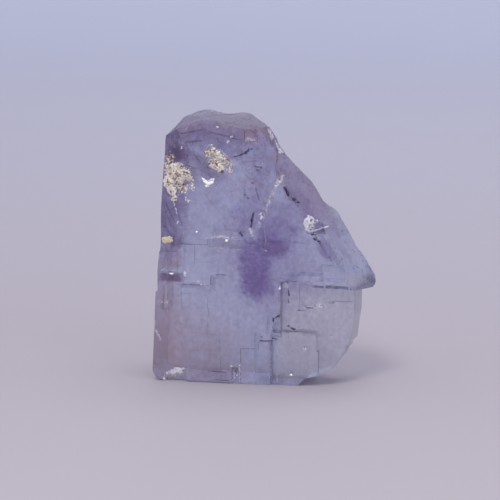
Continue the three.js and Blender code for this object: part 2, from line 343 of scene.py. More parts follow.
def front_bevels():
    steep = outside(
        "steep_bevel", (1.9, FRONT, 27.4), (0.684, -0.722, 0.104), (0, 0, 1), (44, 30), 0.3,
        together(
            swells([(1.5, -1, 1.3, 2.5, 0.12), (3.8, 0, 1.2, 3, -0.1), (5.4, 0, 1.1, 4, 0.22)]),
            grain(1.4, 0.05, 21),
        ),
    )
    long = outside(
        "long_bevel", BEVEL_POINT, (0.717, -0.526, 0.458), ALONG_RIDGE, (40, 24), 0.25,
        together(
            swells([
                (2.2, -1.5, 1.2, 2.4, -0.08),
                (4.8, -1.5, 1.3, 2.6, 0.1),
                (8.2, -2.5, 1.6, 2, -0.08),
            ]),
            grain(1.8, 0.045, 24),
        ),
    )
    return combine("front_bevels", steep, [long], "INTERSECT")


def back_bevel():
    return outside(
        "back_bevel", BEVEL_POINT, (0.72, 0.29, 0.6), ALONG_RIDGE, (44, 34), 0.25,
        together(
            swells(
                [
                    (-5.6, 0, 2.4, 5, -0.6), (2.1, 0, 0.9, 5, -0.3), (4.3, 0, 1.2, 5, 0.32),
                    (10, 0, 2.4, 6, -0.6), (12.5, 0, 0.8, 4, 0.2), (14.6, 0, 1.3, 4, -0.5),
                    (4, 9, 5, 3, -0.5), (-4, 8, 2.5, 3, 0.25),
                ]
            ),
            shell_rings((9, 8), 2.6, 0.1, wobble=0.6, seed=7),
            shell_rings((11, 9), 0.8, 0.03, fade=16, wobble=0.5, seed=8),
            grain(1.5, 0.06, 31),
        ),
    )


def broken_back():
    """The upper part of the back, which broke unevenly."""
    return outside(
        "broken_back", (-4, BACK - 0.75, 27), (0.03, 1, 0.06), (1, 0, 0), (26, 17), 0.3,
        together(
            shell_rings((4, -6), 2.4, 0.16, fade=5, wobble=0.8, seed=17),
            grain(3.2, 0.4, 75, 4),
        ),
        thick=8.0,
    )


def back_left_corner():
    return outside(
        "back_left_corner", (-12.9, BACK - 0.2, 26), (-0.62, 0.76, 0.2), (0, 0, 1), (20, 14), 0.25,
        together(swells([(0, 0, 3, 3, 0.25), (5, 1, 3, 3, -0.25)]), grain(1.3, 0.07, 41)),
    )


def left_wall(z):
    """Where the upper left side lies."""
    return -13.06 + 0.066 * (z - 26)


def left_side():
    flat = swells([])
    lower = outside(
        "left_lower", (-14.28, 0, 5), (-1, 0, 0.045), (0, 1, 0), (20, 44), 60, flat, CLEAVED
    )
    upper = outside(
        "left_upper", (left_wall(26), 0, 26), (-1, 0, 0.066), (0, 1, 0), (20, 24), 0.3,
        together(
            swells([(-3, 2, 3, 4, 0.12), (3, -4, 2.5, 4, -0.15), (-4, 8, 3, 3, -0.2)]),
            grain(1.2, 0.03, 51),
        ),
    )
    ledge = block("left_ledge", (LEFT - SPARE, FRONT - SPARE, 11.6), (-13.72, 1.2, 14.2))
    rear = block("left_rear_ledge", (LEFT - SPARE, 1.1, 8.4), (-13.78, BACK + SPARE, 14.2))
    foot = plate(
        "left_foot",
        [
            (LEFT - SPARE, -SPARE), (-13.6, -SPARE), (-13.6, 0.05), (-14.15, 0.55), (-14.42, 1.2),
            (LEFT - SPARE, 1.2),
        ],
        FRONT - SPARE, BACK + SPARE, BROKEN,
    )
    return [lower, upper, ledge, rear, foot]


def flutes(u, v):
    """Curved flutes of uneven width and depth, as a break runs out in them."""
    along = u + 0.06 * v * v + 0.3 * smooth_noise(u, v, 1.3, 63)
    return (0.08 + 0.05 * smooth_noise(u, v, 2.1, 64)) * np.cos(2 * math.pi * along / 0.62)


def rounded_tip():
    """Planes that round the tip, seen edge-on from the camera."""
    rows = [
        # (x and z at y -3, how far it faces up in degrees, finish)
        # The two planes that face down, under the tip, are painted in shade.
        (13.77, 14.9, 30, BROKEN), (14.22, 13.9, 8, BROKEN), (14.09, 13.12, -30, DIM),
        (13.5, 12.64, -69, SHADED),
    ]
    return [
        outside(
            f"tip_round_{i}",
            (x, -3, z),
            TO_THE_RIGHT * math.cos(math.radians(rise)) + UPWARDS * math.sin(math.radians(rise)),
            (-0.22, 0.96, 0),
            (16, 8),
            0.12,
            together(lambda u, v: 0.35 * flutes(v, u), grain(0.6, 0.04, 67 + i)),
            finish,
            4.0,
        )
        for i, (x, z, rise, finish) in enumerate(rows)
    ]


def broken_tip():
    fluted = outside(
        "fluted_tip", (13.1, -2.3, 13.9), (0.8, -0.46, 0.38), (0.94, 0.38, 0.99), (8, 8), 0.08,
        together(flutes, grain(0.5, 0.05, 61)),
    )
    end = outside(
        "tip_end", (13.98, -1.3, 13.6), (0.86, 0.49, -0.15), (-0.5, 0.87, 0), (16, 10), 0.2,
        together(swells([(1.6, 0, 1, 2, 0.18), (4, -1, 1.4, 2, -0.2)]), grain(0.9, 0.08, 65)),
    )
    return [fluted, end]


# Steps of the broad face

def front_steps():
    out = FRONT - SPARE
    window_outline = plate(
        "window_outline",
        [
            (LEFT - SPARE, 16.8), (-11.1, 16.8), (-11.1, 17.85), (-7.2, 17.85), (-7.2, 18.7),
            (-2.3, 18.7), (-2, 18.2), (-0.6, 18.2), (-0.45, 17.7), (0.6, 17.7), (0.3, 19.5),
            (0.1, 21.4), (0.55, 23.3), (1.3, 25.2), (2, 26.6), (1.7, 28), (3, HEIGHT + SPARE),
            (LEFT - SPARE, HEIGHT + SPARE),
        ],
        out, BACK,
    )
    window_floor = outside(
        "window_floor", (-5, WINDOW, 26), (0, -1, 0), (1, 0, 0), (22, 21), 0.14,
        terraced(1.1, 0.045, 81), ETCHED,
    )
    window = combine("window", window_outline, [window_floor], "INTERSECT")
    broad_face = outside(
        "broad_face", (0, FRONT + FRONT_WEAR, 17), (0, -1, 0), (1, 0, 0), (34, 40), 0.25,
        together(terraced(1.7, 0.02, 91), grain(3.0, 0.012, 95, 2)),
        ETCHED,
    )
    # The sill's slope is painted in dim shade.
    window_sill = sloping_cut(
        "window_sill",
        [(-7.2, 17.5), (-2, 17.4), (-2, 18.75), (-7.2, 18.75)],
        [0.1, 0.1, 0.45, 0.45], DIM,
    )
    thin_part_upper = leaning_plate(
        "thin_part_upper",
        [
            (2.42, 13.5), (2.38, 8.85), (1.65, 8.55), (1.3, 6.9), (6.85, 6.9), (7.15, 6.2),
            (7.15, 4.5), (TIP, 4.5), (TIP, OVERHANG - 0.26), (6.45, OVERHANG - 0.01), (6.45, 13.5),
        ],
        out, THIN_FRONT, FRONT,
    )
    thin_part_foot = sloping_cut(
        "thin_part_foot",
        [(7.15, 4.51), (7.15, -SPARE), (TIP, -SPARE), (TIP, 4.51)],
        [1.8, 0.8, 1.4, 1.8],
    )
    # The slot's band is painted in shade.
    slot_band = sloping_cut(
        "slot_band",
        [(2.5, 6.95), (2.5, 6.66), (6.3, 6.46), (6.9, 6.05), (7.2, 6.3), (6.85, 6.95)],
        [0.1] * 6, SHADED,
    )
    ledge_left = plate(
        "ledge_left",
        [(1.8, -SPARE), (2.5, -SPARE), (2.5, 6.95), (1.25, 6.95), (1.25, 5.7), (1.8, 5.7)],
        out, FRONT + 0.8,
    )
    column = plate(
        "column",
        [(-2.8, -SPARE), (1.1, -SPARE), (1.1, 5.65), (-0.45, 5.65), (-0.45, 4.6), (-2.8, 4.6)],
        out, FRONT + 0.3,
    )
    groove = plate(
        "groove", [(1, -SPARE), (1.85, -SPARE), (1.85, 5.75), (1, 5.75)], out, FRONT + 0.7
    )
    terrace = plate(
        "terrace",
        [
            (4.4, 13.4), (4.4, 13.8), (5.4, 15), (7.6, 15.2), (7.85, 15.9), (10.8, 15.6),
            (TIP + 1, 15.6), (TIP + 1, 13.4),
        ],
        out, FRONT + 0.25,
    )
    terrace_low = block("terrace_low", (6.4, out, 12), (TIP + 1, FRONT + 0.25, 13.45))
    below_plateau = sloping_cut(
        "below_plateau",
        [
            (-10.6, 12.6), (-10.6, 8), (-3.4, 8), (-3.4, 14.1), (-5.8, 14.1), (-5.8, 13.9),
            (-6.7, 13.9), (-6.7, 12.6),
        ],
        [0.3, 0.01, 0.01, 0.02, 0.3, 0.3, 0.3, 0.35],
    )
    plateau_left = sloping_cut(
        "plateau_left",
        [(-8.8, 17.84), (-8.8, 13), (-7.05, 13), (-7.05, 17.84)],
        [0.16, 0.01, 0.1, 0.2],
    )
    left_strip = sloping_cut(
        "left_strip",
        [(LEFT - SPARE, 16.9), (LEFT - SPARE, 14.2), (-11.1, 14.2), (-11.1, 16.9)],
        [0.5, 0.45, 0.25, 0.3],
    )
    small_steps = plate(
        "small_steps",
        [
            (4.5, 9.6), (5.4, 9.6), (5.4, 10), (6.4, 10), (6.4, 10.35), (7.7, 10.35), (7.7, 10.7),
            (9, 10.7), (9, 10.95), (TIP, 10.95), (TIP, OVERHANG - 0.27), (4.5, OVERHANG - 0.02),
        ],
        out, THIN_FRONT + 0.22,
    )
    return [
        window, broad_face, window_sill, thin_part_upper, thin_part_foot, slot_band, ledge_left,
        column, groove, terrace, terrace_low, below_plateau, plateau_left, left_strip, small_steps,
    ]


def fine_steps():
    """Faint steps, a few hundredths of a millimetre deep, that cleaving left."""
    chance = random.Random(9)
    cuts = []
    areas = [(-11.0, 1.4, 0.3, 16.5, FRONT + FRONT_WEAR, 12), (3.4, 10.5, 7.3, 12.0, THIN_FRONT, 4)]
    for left, right, low, high, surface, count in areas:
        for _ in range(count):
            x, z = chance.uniform(left, right), chance.uniform(low, high)
            wide, tall = chance.uniform(0.6, 4.5), chance.uniform(0.3, 2.6)
            deep = chance.uniform(0.035, 0.06)
            cuts.append(
                block(
                    f"fine_step_{len(cuts)}", (x, surface - 0.4, z),
                    (min(x + wide, right), surface + deep, min(z + tall, high)),
                )
            )
    return cuts


def chips():
    flat = swells([])
    shell = together(shell_rings((0, -1.2), 0.8, 0.04), grain(0.5, 0.03, 71))
    # The dim chip facets are painted in shade.
    rows = [
        (
            "bevel_chip", (6.2, FRONT + 0.3, 21), (0.75, -0.62, -0.2), (0, 0, 1), (2.4, 4), 9, flat,
            DIM,
        ),
        # The foot chip is pale chip in part and, in part, painted reflection of the pale floor.
        (
            "foot_chip", (-11.5, FRONT + 0.35, 0.85), (0.1, -0.62, -0.78), (1, 0, 0), (2.8, 2.4),
            0.1, shell, CHIPPED,
        ),
        (
            "foot_edge", (-7.7, FRONT + 0.15, 0.12), (0, -0.55, -0.83), (1, 0, 0), (12.4, 2), 20,
            flat, DIM,
        ),
        (
            "left_edge_chip", (-14.1, FRONT + 0.1, 6.9), (-0.72, -0.68, 0.1), (0, 0, 1), (1.9, 2),
            9, flat, DIM,
        ),
    ]
    cutters = [outside(*row) for row in rows]
    cutters.append(block("crack", (-3.95, FRONT - SPARE, -SPARE), (-3.1, FRONT + 0.75, 2.2)))
    cutters.append(block("square", (-2.45, FRONT - SPARE, 31.2), (-0.75, FRONT + 1.05, 32.6)))
    return cutters


# Small marks: (x, z) on the broad face, and the depth of the surface that they sit in

# Facets turned to the lamp; their glint finish is also paled, a painted highlight.
GLINTS = [
    # (x, z, width, height, surface)
    (-7.7, 26.35, 0.3, 0.3, WINDOW),
    (-7.45, 26.1, 0.42, 0.34, WINDOW),
    (-7.12, 25.75, 0.5, 0.5, WINDOW),
    (-6.75, 25.95, 0.45, 0.34, WINDOW),
    (-6.45, 26.25, 0.28, 0.42, WINDOW),
    (-7.2, 25.35, 0.5, 0.24, WINDOW),
    (-11.69, 23.44, 0.3, 0.34, WINDOW),
    (-11.17, 20.62, 0.22, 0.3, WINDOW),
    (-9.7, 23.44, 0.34, 0.2, WINDOW),
    (-8.73, 19.41, 0.32, 0.26, WINDOW),
    (-10.65, 30.15, 0.22, 0.42, WINDOW),
    (-6.71, 30.64, 0.24, 0.24, WINDOW),
    (-4.62, 31.08, 0.26, 0.2, WINDOW),
    (-4.1, 31.73, 0.34, 0.18, WINDOW),
    (-5.92, 32.9, 0.24, 0.22, WINDOW),
    (-0.35, 27.75, 0.5, 0.12, WINDOW),
    (-0.55, 28.2, 0.5, 0.12, WINDOW),
    (-0.1, 28.45, 0.18, 0.2, WINDOW),
    (-0.01, 21.58, 0.4, 0.5, FRONT),
    (0.5, 22.9, 0.22, 0.4, FRONT),
    (1.0, 23.9, 0.24, 0.34, FRONT),
    (1.35, 24.8, 0.34, 0.24, FRONT),
    (1.75, 25.75, 0.4, 0.3, FRONT),
    (2.1, 26.35, 0.34, 0.4, FRONT),
    (2.75, 27.1, 0.34, 0.34, FRONT),
    (-4.72, 18.5, 0.4, 0.16, FRONT + 0.5),
    (-11.88, 13.97, 0.34, 0.22, FRONT),
    (-10.09, 14.2, 0.26, 0.26, FRONT),
    (-10.1, 13.75, 0.26, 0.22, FRONT),
    (-3.77, 14.8, 0.22, 0.26, FRONT),
    (-8.98, 13.11, 0.5, 0.14, FRONT),
    (-8.1, 13.14, 0.3, 0.14, FRONT),
    (-7.92, 12.74, 0.22, 0.18, FRONT),
    (-7.35, 12.7, 0.22, 0.18, FRONT),
    (-6.84, 12.66, 0.18, 0.18, FRONT),
    (0.55, 17.35, 0.3, 0.24, FRONT),
    (2.6, 13.3, 0.3, 0.24, FRONT),
    (2.95, 13.1, 0.3, 0.2, FRONT),
    (3.3, 13.2, 0.2, 0.2, FRONT),
    (-4.0, 2.3, 0.24, 0.3, FRONT),
    (-3.4, 0.9, 0.4, 0.4, FRONT + 0.6),
    (-2.9, 2.4, 0.24, 0.24, FRONT),
    (-13.8, 6.3, 0.16, 0.5, FRONT),
    (-13.6, 5.8, 0.16, 0.5, FRONT),
    (-13.4, 5.35, 0.2, 0.3, FRONT),
    (-13.3, 10.3, 0.2, 0.2, FRONT),
    (-12.4, 10.35, 0.3, 0.24, FRONT),
    (7.04, 10.25, 0.24, 0.24, THIN_FRONT + 0.1),
    (3.73, 1.34, 0.3, 0.42, FRONT + 1.4),
    (5.43, 4.75, 0.4, 0.2, FRONT + 1.4),
    (8.68, 6.32, 0.4, 0.24, THIN_FRONT + 0.1),
]

# Slits are cut with the cracked finish, whose near-black colour is painted shade.
SLITS = [
    # (x, z, x, z, width, depth, surface)
    (-3.9, 29.15, -3.1, 29.35, 0.14, 0.16, WINDOW),
    (-3.2, 29.3, -2.3, 29.75, 0.2, 0.2, WINDOW),
    (-2.5, 29.65, -1.75, 30.0, 0.3, 0.3, WINDOW),
    (-1.95, 29.8, -1.85, 30.35, 0.22, 0.3, WINDOW),
    (-1.6, 30.15, -1.3, 30.3, 0.2, 0.3, WINDOW),
    (-1.2, 28.02, -0.1, 27.92, 0.12, 0.3, WINDOW),
    (-1.0, 27.6, -0.3, 27.58, 0.12, 0.25, WINDOW),
    (-1.55, 25.95, -1.2, 25.9, 0.22, 0.2, WINDOW),
    (-2.5, 24.5, -2.2, 24.35, 0.2, 0.2, WINDOW),
    (-2.1, 24.05, -1.8, 23.9, 0.2, 0.2, WINDOW),
    (-1.2, 22.2, -1.4, 21.4, 0.22, 0.5, WINDOW),
    (-1.35, 21.6, -1.5, 20.8, 0.34, 0.6, WINDOW),
    (-1.4, 20.9, -1.62, 20.1, 0.22, 0.5, WINDOW),
    (-3.05, 19.6, -2.85, 19.3, 0.26, 0.3, WINDOW),
    (-2.9, 19.3, -2.6, 19.05, 0.24, 0.3, WINDOW),
    (2.85, 25.65, 3.15, 25.0, 0.3, 0.8, FRONT),
    (3.1, 25.1, 3.5, 24.4, 0.36, 0.8, FRONT),
    (3.9, 24.2, 4.3, 23.9, 0.3, 0.5, FRONT + 0.15),
    (4.4, 23.8, 4.8, 23.55, 0.2, 0.5, FRONT + 0.15),
    (3.3, 26.3, 3.55, 25.95, 0.26, 0.5, FRONT + 0.3),
    (6.3, 19.62, 7.3, 19.85, 0.18, 0.5, FRONT),
    (6.6, 19.25, 7.1, 18.9, 0.24, 0.5, FRONT),
    (7.2, 18.95, 7.6, 18.6, 0.3, 0.5, FRONT),
    (-5.95, 14.13, -5.3, 14.05, 0.16, 0.25, FRONT),
    (-5.5, 14.15, -4.7, 14.02, 0.12, 0.25, FRONT),
    (2.5, 13.1, 2.5, 12.6, 0.16, 0.4, FRONT),
    (1.3, 8.42, 1.9, 8.75, 0.4, 0.9, FRONT),
    (1.6, 8.55, 2.3, 9.0, 0.42, 0.9, FRONT),
    (1.9, 8.9, 2.4, 9.3, 0.24, 0.9, FRONT),
    (-0.35, 5.78, 0.6, 5.72, 0.14, 0.5, FRONT),
    (0.3, 5.7, 1.3, 5.85, 0.2, 0.5, FRONT),
    (1.1, 6.0, 1.9, 5.9, 0.16, 0.5, FRONT + 0.8),
    (-0.3, 6.3, 0.1, 6.2, 0.12, 0.25, FRONT),
    (1.6, 7.3, 2.1, 7.1, 0.16, 0.4, FRONT + 0.8),
    (3.3, 7.25, 4.0, 7.1, 0.2, 0.4, THIN_FRONT),
    (2.9, 7.5, 3.3, 7.45, 0.14, 0.4, THIN_FRONT),
    (3.05, 12.2, 3.2, 11.3, 0.16, 0.3, THIN_FRONT),
    (3.0, 10.9, 3.15, 10.4, 0.1, 0.3, THIN_FRONT),
    (4.2, 9.62, 4.7, 9.5, 0.14, 0.25, THIN_FRONT),
    (4.9, 10.15, 5.5, 10.1, 0.12, 0.25, THIN_FRONT),
    (5.3, 9.95, 6.3, 9.9, 0.12, 0.25, THIN_FRONT),
    (8.3, 10.9, 9.1, 10.75, 0.12, 0.25, THIN_FRONT),
    (-6.6, 0.4, -4.2, 0.36, 0.14, 0.3, FRONT),
    (-6.9, 1.5, -4.5, 1.42, 0.1, 0.3, FRONT),
    (-3.7, 1.9, -3.5, 1.2, 0.22, 0.3, FRONT + 0.7),
]

UP, DOWN, FAR_LEFT, FAR_RIGHT = (0, 1), (0, -1), (-1, 0), (1, 0)

# Shaded and dim edges are painted in shade; glint ones are paled as a painted highlight.
WORN_EDGES = [
    # (x, z, x, z, surface, width, tilt in degrees, way that the low side lies, finish)
    (-7.6, 18.7, -2.4, 18.74, WINDOW - 0.25, 0.2, 36, UP, GLINT),
    (2.9, 25.6, 4.5, 23.55, FRONT, 0.6, 24, (0.79, 0.61), SHADED),
    (4.5, 23.55, 6.0, 22.0, FRONT, 0.5, 24, (0.72, 0.69), SHADED),
    (6.7, 19.9, 8.0, 17.9, FRONT, 0.36, 24, (0.84, 0.55), SHADED),
    (8.0, 17.9, 9.6, 15.6, FRONT, 0.3, 24, (0.82, 0.57), SHADED),
    (-7.0, 17.42, -2.2, 17.5, FRONT, 0.16, 38, UP, GLINT),
    (-8.9, 17.95, -7.2, 17.86, FRONT, 0.16, 36, UP, GLINT),
    (-10.6, 12.6, -6.7, 12.62, FRONT, 0.3, 50, DOWN, SHADED),
    (-6.7, 12.7, -6.7, 13.9, FRONT, 0.2, 50, FAR_RIGHT, SHADED),
    (-6.7, 13.95, -4.7, 14.08, FRONT, 0.16, 50, DOWN, SHADED),
    (6.5, 13.0, 14.3, 12.85, FRONT + 0.25, 0.42, 55, DOWN, SHADED),
    (2.6, 13.6, 6.4, 13.5, FRONT, 0.24, 50, DOWN, SHADED),
    (6.45, 13.5, 6.45, 12.85, FRONT + 0.1, 0.2, 45, FAR_LEFT, SHADED),
    (5.4, 15.0, 7.6, 15.2, FRONT, 0.16, 50, DOWN, SHADED),
    (7.6, 15.2, 7.85, 15.9, FRONT, 0.16, 45, FAR_RIGHT, SHADED),
    (7.85, 15.9, 10.8, 15.62, FRONT, 0.16, 50, DOWN, SHADED),
    (4.4, 13.8, 5.4, 15.0, FRONT, 0.16, 45, (0.77, -0.64), SHADED),
    (2.42, 13.4, 2.38, 8.9, FRONT, 0.12, 50, FAR_RIGHT, DIM),
    (1.65, 8.5, 1.32, 6.9, FRONT, 0.16, 45, FAR_RIGHT, DIM),
    (1.3, 6.9, 2.5, 6.92, FRONT + 0.8, 0.3, 50, UP, SHADED),
    (2.5, 6.9, 6.85, 6.9, FRONT + 0.3, 0.24, 50, UP, SHADED),
    (6.85, 6.9, 7.15, 6.2, FRONT, 0.5, 55, (0.92, 0.39), SHADED),
    (7.15, 6.2, 7.15, 4.5, FRONT, 0.24, 50, FAR_RIGHT, SHADED),
    (2.5, 6.7, 2.5, 0.2, FRONT, 0.2, 45, FAR_LEFT, DIM),
    (1.1, 5.6, 1.1, 0.2, FRONT + 0.3, 0.2, 45, FAR_RIGHT, DIM),
    (-2.8, 4.6, -2.8, 0.2, FRONT, 0.16, 45, FAR_RIGHT, SHADED),
    (-2.8, 4.6, -0.45, 4.6, FRONT, 0.14, 45, DOWN, SHADED),
    (-0.45, 5.65, 1.1, 5.65, FRONT, 0.3, 50, DOWN, SHADED),
    (4.5, 9.6, 5.4, 9.6, THIN_FRONT, 0.16, 40, UP, SHADED),
    (5.4, 10, 6.4, 10, THIN_FRONT, 0.2, 40, UP, SHADED),
    (6.4, 10.35, 7.7, 10.35, THIN_FRONT, 0.18, 40, UP, SHADED),
    (7.7, 10.7, 9, 10.7, THIN_FRONT, 0.16, 40, UP, SHADED),
    (9, 10.95, 12.4, 10.95, THIN_FRONT, 0.1, 40, UP, SHADED),
    (-11.1, 16.8, -11.1, 14.3, FRONT, 0.16, 45, FAR_LEFT, SHADED),
    (-13.8, 14.25, -11.1, 14.2, FRONT, 0.22, 36, UP, GLINT),
    (-13.9, 16.85, -11.2, 16.82, FRONT, 0.16, 40, UP, SHADED),
    (-11.1, 17.85, -8.9, 17.85, FRONT, 0.14, 38, UP, SHADED),
    # The pale chipped facets along the window's right ridge are in part painted sparkle.
    (0.55, 17.8, 0.3, 19.5, FRONT, 0.24, 45, FAR_LEFT, CHIPPED),
    (0.3, 19.5, 0.12, 21.4, FRONT, 0.3, 45, FAR_LEFT, CHIPPED),
    (0.12, 21.4, 0.57, 23.3, FRONT, 0.34, 45, FAR_LEFT, CHIPPED),
    (0.57, 23.3, 1.32, 25.2, FRONT, 0.34, 45, FAR_LEFT, CHIPPED),
    (1.32, 25.2, 2.0, 26.6, FRONT, 0.3, 45, FAR_LEFT, CHIPPED),
    (-2.4, 31.2, -0.8, 31.2, WINDOW, 0.16, 40, UP, GLINT),
]

SCRATCHES = [
    # (x, z, x, z, width, depth, surface)
    (-7.7, 24.4, -5.8, 22.2, 0.1, 0.06, WINDOW),
    (-10.97, 11.01, -9.77, 12.23, 0.12, 0.08, FRONT),
    (4.11, 13.82, 5.41, 14.9, 0.12, 0.12, FRONT),
    (-2.8, 4.68, -0.7, 4.74, 0.1, 0.1, FRONT),
    (-2.8, 4.6, -2.85, 2.6, 0.1, 0.1, FRONT),
    (10.4, 10.14, 12.5, 10.1, 0.1, 0.12, THIN_FRONT),
    (9.8, 11.66, 12.6, 11.66, 0.1, 0.12, THIN_FRONT),
    (-9.0, 9.6, -8.2, 9.5, 0.1, 0.08, FRONT),
    (5.0, 12.66, 6.4, 12.64, 0.12, 0.12, THIN_FRONT),
    (-10.5, 12.35, -5.9, 12.02, 0.16, 0.12, FRONT),
    (-11.2, 12.7, -10.4, 12.4, 0.14, 0.12, FRONT),
    (-10.6, 11.0, -10.2, 12.3, 0.1, 0.08, FRONT),
    (-12.9, 23.3, -11.4, 20.4, 0.16, 0.1, WINDOW),
    (-12.6, 21.6, -11.7, 19.4, 0.14, 0.1, WINDOW),
    (-11.3, 22.3, -10.5, 20.1, 0.12, 0.1, WINDOW),
    (-13.0, 20.2, -12.2, 19.1, 0.16, 0.12, WINDOW),
    (-10.4, 28.1, -7.2, 27.0, 0.18, 0.1, WINDOW),
    (-7.2, 27.1, -6.1, 25.8, 0.14, 0.1, WINDOW),
    (-11.0, 31.9, -7.4, 32.6, 0.2, 0.1, WINDOW),
    (-7.2, 32.4, -2.9, 31.3, 0.2, 0.1, WINDOW),
    (-10.2, 30.9, -7.6, 31.2, 0.18, 0.1, WINDOW),
    (-9.2, 29.6, -8.0, 28.2, 0.16, 0.1, WINDOW),
    (-2.9, 28.4, -0.5, 28.9, 0.14, 0.1, WINDOW),
    (-2.4, 27.0, -1.2, 26.2, 0.14, 0.1, WINDOW),
    (-1.0, 25.4, -0.4, 23.6, 0.16, 0.12, WINDOW),
    (5.4, 24.9, 9.3, 19.6, 0.16, 0.3, FRONT + 1.6),
]


def long_mark(name, mark, finish, seed):
    """A ragged slit that tapers at both ends."""
    x0, z0, x1, z1, width, depth, surface = mark
    chance = random.Random(seed)
    a, b = np.array((x0, z0)), np.array((x1, z1))
    along = b - a
    side = np.array((-along[1], along[0])) / np.linalg.norm(along) * width / 2
    stations = (0.18, 0.4, 0.6, 0.82)
    outline = [a]
    outline += [a + t * along - chance.uniform(0.3, 1.5) * side for t in stations]
    outline += [b]
    outline += [a + t * along + chance.uniform(0.3, 1.5) * side for t in reversed(stations)]
    return plate(name, [tuple(p) for p in outline], surface - 0.5, surface + depth, finish)


def worn_edge(name, row, seed):
    """Small facets that blunt a step's edge, each a little different."""
    x0, z0, x1, z1, surface, width, tilt, low, finish = row
    chance = random.Random(seed)
    a, b = np.array((x0, z0)), np.array((x1, z1))
    length = np.linalg.norm(b - a)
    low = unit(low)
    facets = []
    at = chance.uniform(0, 0.15)
    while at < length - 0.1:
        run = min(chance.uniform(0.25, 1.1), length - at)
        size = width * chance.uniform(0.55, 1.15)
        lean = math.radians(tilt + chance.uniform(-9, 9))
        middle = a + (b - a) * (at + run / 2) / length - low * size * math.cos(lean) / 2
        facets.append(
            outside(
                f"{name}_{len(facets)}",
                (middle[0], surface + size * math.sin(lean) / 2, middle[1]),
                (low[0] * math.sin(lean), -math.cos(lean), low[1] * math.sin(lean)),
                ((b - a)[0], 0, (b - a)[1]), (run, 1.04 * size), 9, swells([]), finish, 1.0,
            )
        )
        at += run + (chance.uniform(0.05, 0.5) if chance.random() < 0.35 else 0)
    return facets


def small_marks():
    flat = swells([])
    cutters = []
    for i, (x, z, width, height, surface) in enumerate(GLINTS):
        turn = 0.05 * math.sin(2.7 * i)
        normal = (GLINT_FACING[0] + turn, GLINT_FACING[1], GLINT_FACING[2])
        deep = surface + 0.3 * height
        cutters.append(
            outside(
                f"glint_{i}", (x, deep, z), normal, (1, 0, 0.4 * math.sin(i)), (width, height), 9,
                flat, GLINT, 1.5,
            )
        )
    # Slits get the cracked finish: painted shade.
    cutters += [long_mark(f"slit_{i}", mark, CRACKED, i) for i, mark in enumerate(SLITS)]
    # Scratches are painted in shade, more strongly where wide.
    for i, mark in enumerate(SCRATCHES):
        finish = SHADED if mark[4] > WIDE_SCRATCH else DIM
        cutters.append(long_mark(f"scratch_{i}", mark, finish, i))
    for i, row in enumerate(WORN_EDGES):
        cutters += worn_edge(f"edge_{i}", row, 300 + i)
    return cutters


def back_steps():
    out = BACK + SPARE
    rows = [
        ([(-16, -SPARE), (-7.4, -SPARE), (-7.4, 4.6), (-9.1, 4.6), (-9.1, 9.7), (-16, 9.7)], 0.55),
        ([(-2.6, -SPARE), (TIP, -SPARE), (TIP, 7.8), (-0.9, 7.8), (-0.9, 5.2), (-2.6, 5.2)], 1.5),
        (
            [
                (-4.1, 17.3), (TIP, 17.3), (TIP, HEIGHT + SPARE), (-1.8, HEIGHT + SPARE),
                (-1.8, 24.4), (-4.1, 24.4),
            ],
            0.8,
        ),
        (
            [(-12.2, 14.2), (-8.3, 14.2), (-8.3, 19.1), (-6.4, 19.1), (-6.4, 22.2), (-12.2, 22.2)],
            0.35,
        ),
        ([(0.6, 9.8), (TIP, 9.8), (TIP, 14.9), (2.4, 14.9), (2.4, 12.9), (0.6, 12.9)], 0.6),
    ]
    steps = [
        plate(f"back_step_{i}", outline, BACK - depth, out)
        for i, (outline, depth) in enumerate(rows)
    ]
    behind_thin_part = leaning_plate(
        "behind_thin_part",
        [(0.3, -SPARE), (TIP + 5, -SPARE), (TIP + 5, 12.4), (1.5, 12.4), (1.5, 5.3), (0.3, 5.3)],
        THIN_BACK + 0.01, out, THIN_BACK,
    )
    return [*steps, behind_thin_part]


# Materials

def node(tree, kind, place, settings=(), **inputs):
    """Adds a node, sets its properties and fills or links its inputs."""
    made = tree.nodes.new(kind)
    made.location = place
    for name, value in dict(settings).items():
        setattr(made, name, value)
    for name, value in inputs.items():
        socket = made.inputs[int(name[1:])] if name[0] == "i" and name[1:].isdigit() else (
            made.inputs[name.replace("_", " ")]
        )
        if isinstance(value, bpy.types.NodeSocket):
            tree.links.new(value, socket)
        else:
            socket.default_value = value
    return made


def reckon(tree, operation, place, *values, kind="ShaderNodeMath"):
    """A node that works on numbers, with its inputs in order."""
    inputs = {f"i{i}": value for i, value in enumerate(values)}
    return node(tree, kind, place, {"operation": operation}, **inputs)


def reckon_vector(tree, operation, place, *values):
    return reckon(tree, operation, place, *values, kind="ShaderNodeVectorMath")


def blank_material(name):
    material = bpy.data.materials.new(name)
    material.use_nodes = True
    material.node_tree.nodes.clear()
    return material, material.node_tree


def show(tree, shader, place):
    out = node(tree, "ShaderNodeOutputMaterial", place)
    tree.links.new(shader.outputs[0], out.inputs["Surface"])
    return out


